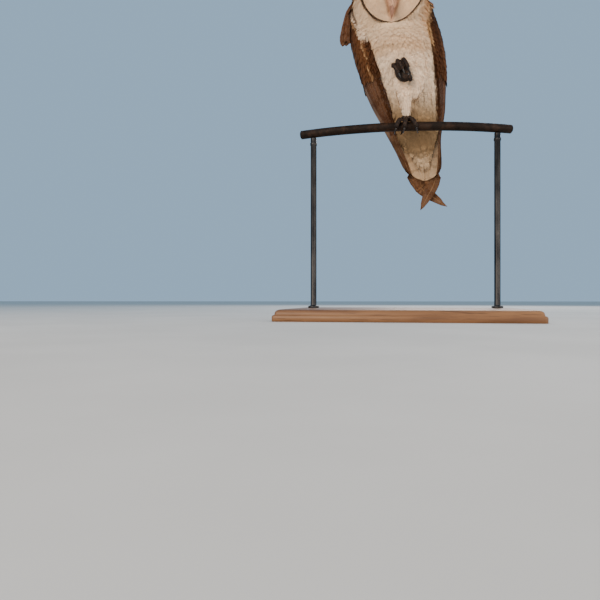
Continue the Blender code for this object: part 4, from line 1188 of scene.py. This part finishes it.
def covert_row(sheet, level, down_part, zone, stagger):
    """One row of coverts or scapulars across a zone of the wing, and their length."""
    first, last, slim, stretch = zone
    long = (COVERT_LENGTH + COVERT_GROWTH * down_part**1.3) * stretch
    half = long * COVERT_HALF * slim
    reach = sheet.arc(level)
    count = max(int(reach * (last - first) / (half * 1.10)), 3)
    part = first + (last - first) * (np.arange(count) + 0.5 * stagger + 0.25) / count
    part = np.clip(part + luck.uniform(-0.2, 0.2, count) * (last - first) / count,
                   first + half * 0.3 / reach, 0.996)
    lev = level + luck.uniform(-0.0016, 0.0016, count)
    bare = sheet.covered(part, lev) < 0.5
    part, lev, count = part[bare], lev[bare], bare.sum()
    out = sheet.out(lev, part)
    way = flatten_to(sheet.at(lev - 0.010, part) - sheet.at(lev, part), out)
    wide = half * luck.uniform(0.88, 1.12, count)
    size = np.stack([wide, long * luck.uniform(0.9, 1.1, count), np.full(count, 0.0018)], 1)
    return (sheet.at(lev, part) - out * (0.0019 + 0.0004 * down_part), way, out, size,
            wing_colour(part, lev, sheet) * luck.uniform(0.86, 1.12, (count, 1)),
            rise(part, 0.20, 0.38) * luck.uniform(0.35, 1.0, count)), long


for side, sheet in sheets.items():
    front = (on_trunk & ~clear & (np.abs(turns) < 1.7)) | (on_wing & (wing_part < 0.04))
    front &= (covered < 0.5) & (np.char.endswith(where, side) | on_trunk) & (turns * sheet.sign > 0)
    strew("edge_feathers_" + side, front, 0.0021, 0.0098, 0.0020, COVERT_VANE, soft_finish,
          0.0019, (0.2, 0.10), 52)
    for piece, solid, zones in COVERT_ZONES:
        low, top = [corner.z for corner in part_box(solid + side)]
        rows = []
        for zone in zones:
            level, stagger = low + 0.004, 0
            while level < top - 0.002:
                row, long = covert_row(sheet, level, (top - level) / (top - low), zone, stagger)
                rows.append(row)
                level, stagger = level + long * COVERT_STEP, 1 - stagger
        set_rows(piece + side, rows, back_finish, COVERT_VANE, replaced=(solid + side,))

# ------------------------------------------------------------------ 13. flight feathers
# Each wing shows its secondaries lying side by side below the coverts, and the primaries that
# run on past the tail.  The tips of the two wings cross behind it.


def section_box(name, level, inset):
    """Corners of a solid's section at a level, which is held this far inside its ends."""
    low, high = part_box(name)
    cut = cut_points([name], min(max(level, low.z + inset), high.z - inset))
    return cut.min(0), cut.max(0)


def vane_tree(name):
    """Geometry Nodes that draw long flight feathers along given lines: a thin closed section,
    hollow below, scaled by the feather's half width at each point."""
    tree, (lines, section, finish) = new_tree(name, ("Lines", "Geometry"), ("Section", "Object"),
                                              ("Finish", "Material"))
    line = add(tree, "GeometryNodeSetCurveNormal", {
        "Curve": add(tree, "GeometryNodeMeshToCurve", {"Mesh": lines}),
        "Normal": named(tree, "face")}, mode="FREE")
    section = add(tree, "GeometryNodeObjectInfo", {"Object": section}, "Geometry")
    section = add(tree, "GeometryNodeMeshToCurve", {"Mesh": section})
    made = add(tree, "GeometryNodeCurveToMesh", {
        "Curve": line, "Profile Curve": section, "Scale": named(tree, "half", "FLOAT"),
        "Fill Caps": True})
    return end_tree(tree, made, finish)


VANES = vane_tree("long_vanes")


def vane_section(camber, thick, points=7):
    """The closed cross-section of a long feather, one unit in half width."""
    x = np.linspace(-1, 1, points)
    sides = [np.stack([-camber * x**2 + sign * (thick * (1 - x**2) + 0.004), x, 0 * x], 1)[::sign]
             for sign in (1, -1)]
    rows = np.concatenate(sides)
    mesh = bpy.data.meshes.new("section")
    mesh.from_pydata(rows.tolist(), [(k, (k + 1) % len(rows)) for k in range(len(rows))], [])
    store(mesh, aside=rows[:, 1], top=np.arange(len(rows)) < points)
    return bpy.data.objects.new("section", mesh)


FLIGHT_SECTION = vane_section(0.10, 0.035)
VANE_STEPS = 26
outline = np.linspace(0, 1, VANE_STEPS)
ROUND_TIP = np.interp(outline, (0, 0.06, 0.20, 0.80, 0.90, 0.96, 1.0),
                      (0.35, 0.70, 1.0, 1.0, 0.84, 0.56, 0.10))
LINE_LINKS = np.stack([np.arange(VANE_STEPS - 1), np.arange(1, VANE_STEPS)], 1)


def long_feathers(name, feathers, finish, replaced):
    """Draw long feathers, each given by its path, outward way, half width and tint."""
    paths, outs, halves, tints = zip(*feathers)
    count = len(feathers)
    lines = bpy.data.meshes.new("lines")
    lines.from_pydata(np.concatenate(paths).tolist(),
                      np.concatenate([LINE_LINKS + k * VANE_STEPS for k in range(count)]).tolist(), [])
    store(lines, along=np.tile(outline, count), half=np.concatenate(halves),
          face=np.concatenate([np.broadcast_to(out, (VANE_STEPS, 3)) for out in outs]),
          **{label: np.repeat(values, VANE_STEPS, axis=0) for label, values in (
              ("tint", tints), ("mark", luck.random(count)), ("root", [p[0] for p in paths]))})
    lay(name, lines, VANES, "body", (replaced,), Section=FLIGHT_SECTION, Finish=finish)


flight_finish = feather_finish("flight_vane", barb=0.8, gloss=0.62, bars=0.42)
tail_finish = feather_finish("tail_vane", barb=0.8, gloss=0.68, bars=0.30, top=0.75)

SECONDARY_PLACES = np.concatenate([np.linspace(0, 0.24, 8), np.linspace(0.30, 1.0, 11)])
SECONDARY_GAPS = np.gradient(SECONDARY_PLACES)
PRIMARY_COUNT = 6
SHINGLE = 0.10            # tilt of each long feather, its front edge over its neighbour
LAP = 0.88                # half width of a secondary, in gaps between two of them
TAIL_LOW, TAIL_TOP = [corner.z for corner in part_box("tail")]
for side, sheet in sheets.items():
    low, top = [corner.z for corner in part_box("secondaries_" + side)]
    made = []
    for k, (share, gap) in enumerate(zip(SECONDARY_PLACES, SECONDARY_GAPS)):
        end = low - 0.004 - 0.012 * abs(math.sin(2.3 * k + 1.0)) - 0.014 * (1 - share)
        level = top + 0.010 + (end - top - 0.010) * outline
        arc = sheet.arc(level)
        widest = arc * gap * LAP
        parts = (widest * 0.2 + share * (arc - widest)) / arc
        out = sheet.out(level, parts)
        round_way = flatten_to(sheet.at(level, parts + 0.03) - sheet.at(level, parts - 0.03), out)
        sink = 0.0010 + 0.0018 * (1 - rise(outline, 0.0, 0.16))
        colour = wing_colour(parts[-1:], np.array([OWL.z + 0.05]), sheet)[0]
        colour = mixed(colour, GREY, 0.25 * (share > 0.25)) * luck.uniform(0.85, 1.15)
        made.append((sheet.at(level, parts) - out * sink[:, None],
                     unit(out + round_way * SHINGLE), widest * ROUND_TIP, colour))
    long_feathers("secondary_feathers_" + side, made, flight_finish, "secondaries_" + side)

    solid = "primaries_" + side
    low, top = [corner.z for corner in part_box(solid)]
    start = top + 0.020
    made = []
    for k in range(PRIMARY_COUNT):
        share = k / (PRIMARY_COUNT - 1)
        level = start + (low + 0.0004 + 0.0045 * k - start) * outline
        width = np.interp(level, (low, low + 0.02, TAIL_LOW - 0.006, TAIL_LOW + 0.02, start),
                          (0.0060, 0.0090, 0.0100, 0.0060, 0.0052))
        on_wing_level = np.maximum(level, TAIL_LOW + 0.006)
        arc = sheet.arc(on_wing_level)
        part = (width * 0.6 + share * 0.72 * (arc - 1.2 * width)) / arc
        out = sheet.out(on_wing_level, part)
        path = sheet.at(on_wing_level, part) - out * 0.0012
        for i in np.flatnonzero(level <= TAIL_LOW + 0.012):      # the tips, past the tail
            near, far = section_box(solid, level[i], 0.0012)
            span = far[0] - near[0]
            width[i] = min(width[i], max(0.42 * span, 0.0025))
            slide = width[i] * 0.9 + max(span - width[i] * 1.8, 0) * share
            path[i] = (near[0] + slide if sheet.sign < 0 else far[0] - slide,
                       (near[1] + far[1]) / 2 + (share - 0.5) * 0.0016, level[i])
            out[i] = (0, 1, 0)
        evened = even_out(path, LINE_LINKS, 3)
        evened[[0, -1]], evened[:, 2] = path[[0, -1]], level
        made.append((evened, unit(out), width * ROUND_TIP,
                     mixed(BROWN, GOLD, 0.25 + 0.20 * (k % 2)) * (0.72 + 0.25 * share)))
    long_feathers("primary_feathers_" + side, made, flight_finish, solid)

# ------------------------------------------------------------------ 14. tail
# Twelve tail feathers, closed to a narrow stack: the middle pair on top, each outer one below
# its neighbour.  Pale buff below, golden above, with faint dark bars.
TAIL_COUNT, TAIL_HALF = 12, 0.0074
made = []
for k in range(TAIL_COUNT):
    aside = (2 * k + 1 - TAIL_COUNT) / (TAIL_COUNT - 1)
    end = TAIL_LOW + 0.0006 + 0.0022 * abs(aside) ** 3
    path = []
    for level in TAIL_TOP - 0.004 + (end - TAIL_TOP + 0.004) * outline:
        near, far = section_box("tail", level, 0.0010)
        path.append(((near[0] + far[0]) / 2 + aside * ((far[0] - near[0]) / 2 - 0.0065),
                     near[1] + 0.0014 + (1 - abs(aside)) * 0.55 * (far[1] - near[1]), level))
    made.append((np.array(path), unit(np.array((0.25 * aside, 1.0, 0.15))), TAIL_HALF * ROUND_TIP,
                 mixed(BUFF, CREAM, 0.40 + 0.20 * (k % 2)) * (0.92 - 0.16 * abs(aside))))
long_feathers("tail_feathers", made, tail_finish, "tail")

# ------------------------------------------------------------------ 15. raised shoulder
# A few large shoulder feathers of the right side stand away from the body.
RAISED_COUNT, RAISED_HALF = 9, 0.0068
low, top = [corner.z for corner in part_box("scapulars_raised")]
made = []
for k in range(RAISED_COUNT):
    share = k / (RAISED_COUNT - 1)
    start = top - 0.001 - 0.004 * share
    end = low + 0.0008 + 0.012 * (1 - share) ** 2 + 0.005 * (k % 2)
    path = []
    for level, along in zip(start + (end - start) * outline, outline):
        near, far = section_box("scapulars_raised", level, 0.0008)
        sweep = 0.98 - 0.98 * share * (0.7 + 0.3 * along)
        span = far[0] - near[0]
        path.append((near[0] + min(0.0048, span / 2) + max(span - 0.0096, 0) * sweep,
                     (near[1] + far[1]) / 2 + 0.0022 * math.sin(2.4 * k), level))
    made.append((np.array(path), unit(np.array((-0.25, 0.9, 0.1))), RAISED_HALF * ROUND_TIP,
                 BROWN * (0.85 + 0.3 * (k % 3) / 2)))
long_feathers("raised_feathers", made, flight_finish, "scapulars_raised")

# ------------------------------------------------------------------ 16. feet and claws
# Dark grey-brown scaly toes wrap the bar; the left foot is clenched.  The claws are smooth
# black horn.
TOE_VOXEL, TOE_SWELL, TOE_SHRINK = 0.0006, 0.0006, 0.0005
LEAST_SHELL = 200              # vertices; smaller shells are scraps of the remesh
SCUTE_LENGTH = 0.0021
toe_skin, tree = new_finish("toe_skin", Roughness=0.62, Specular_IOR_Level=0.25)
cells = add(tree, "ShaderNodeTexVoronoi", {
    "Vector": add(tree, "ShaderNodeTexCoord", out="Object"), "Scale": 900.0})
scute = (field(tree, "rank") * math.pi + grain(tree, 250.0, 2.0)).math("SINE").math("ABSOLUTE")
height = fade(scute, 0.10, 0.45) * 0.8 + cells
paint(ramp(height * 0.28 + grain(tree, 300.0, 4.0), (0.45, tone(7, 4, 2)),
           (0.80, tone(26, 15, 8)), (1.0, tone(60, 42, 29))))
relief(height, 0.00018, 0.8)
claw_horn, tree = new_finish("claw_horn", Roughness=0.25, Coat_Weight=0.3)
paint(ramp(grain(tree, 400.0, 3.0), (0.3, tone(20, 16, 14)), (0.75, tone(46, 38, 33))))
for side in ("right", "left"):
    digits = [side + "_" + word for word in ("hind", "inner", "middle", "outer")]
    names = ["foot_" + side] + ["toe_" + digit for digit in digits]
    mesh = remeshed(merged(names, TOE_SWELL), TOE_VOXEL, LEAST_SHELL)
    rows, outs, joins = read_mesh(mesh)
    rows = even_out(rows - outs * TOE_SHRINK, joins, 3)
    mesh.vertices.foreach_set("co", rows.ravel())
    mesh.update()
    owner, rank = near_nodes(rows, names), np.zeros(len(rows))
    for k, name in enumerate(names[1:], 1):        # scutes run in ranks along each toe
        own = fetch(nodes[name].data.vertices, "co", 3)
        long_way = np.linalg.svd(own - own.mean(0), full_matrices=False)[2][0]
        rank[owner == k] = (rows[owner == k] - own.mean(0)) @ long_way / SCUTE_LENGTH
    store(mesh, rank=rank)
    keep("foot_skin_" + side, mesh, toe_skin, *names)
    for digit in digits:
        mesh = evaluated(merged(["talon_" + digit]), "SUBSURF", levels=2, render_levels=2)
        keep("claw_" + digit, mesh, claw_horn, "talon_" + digit)
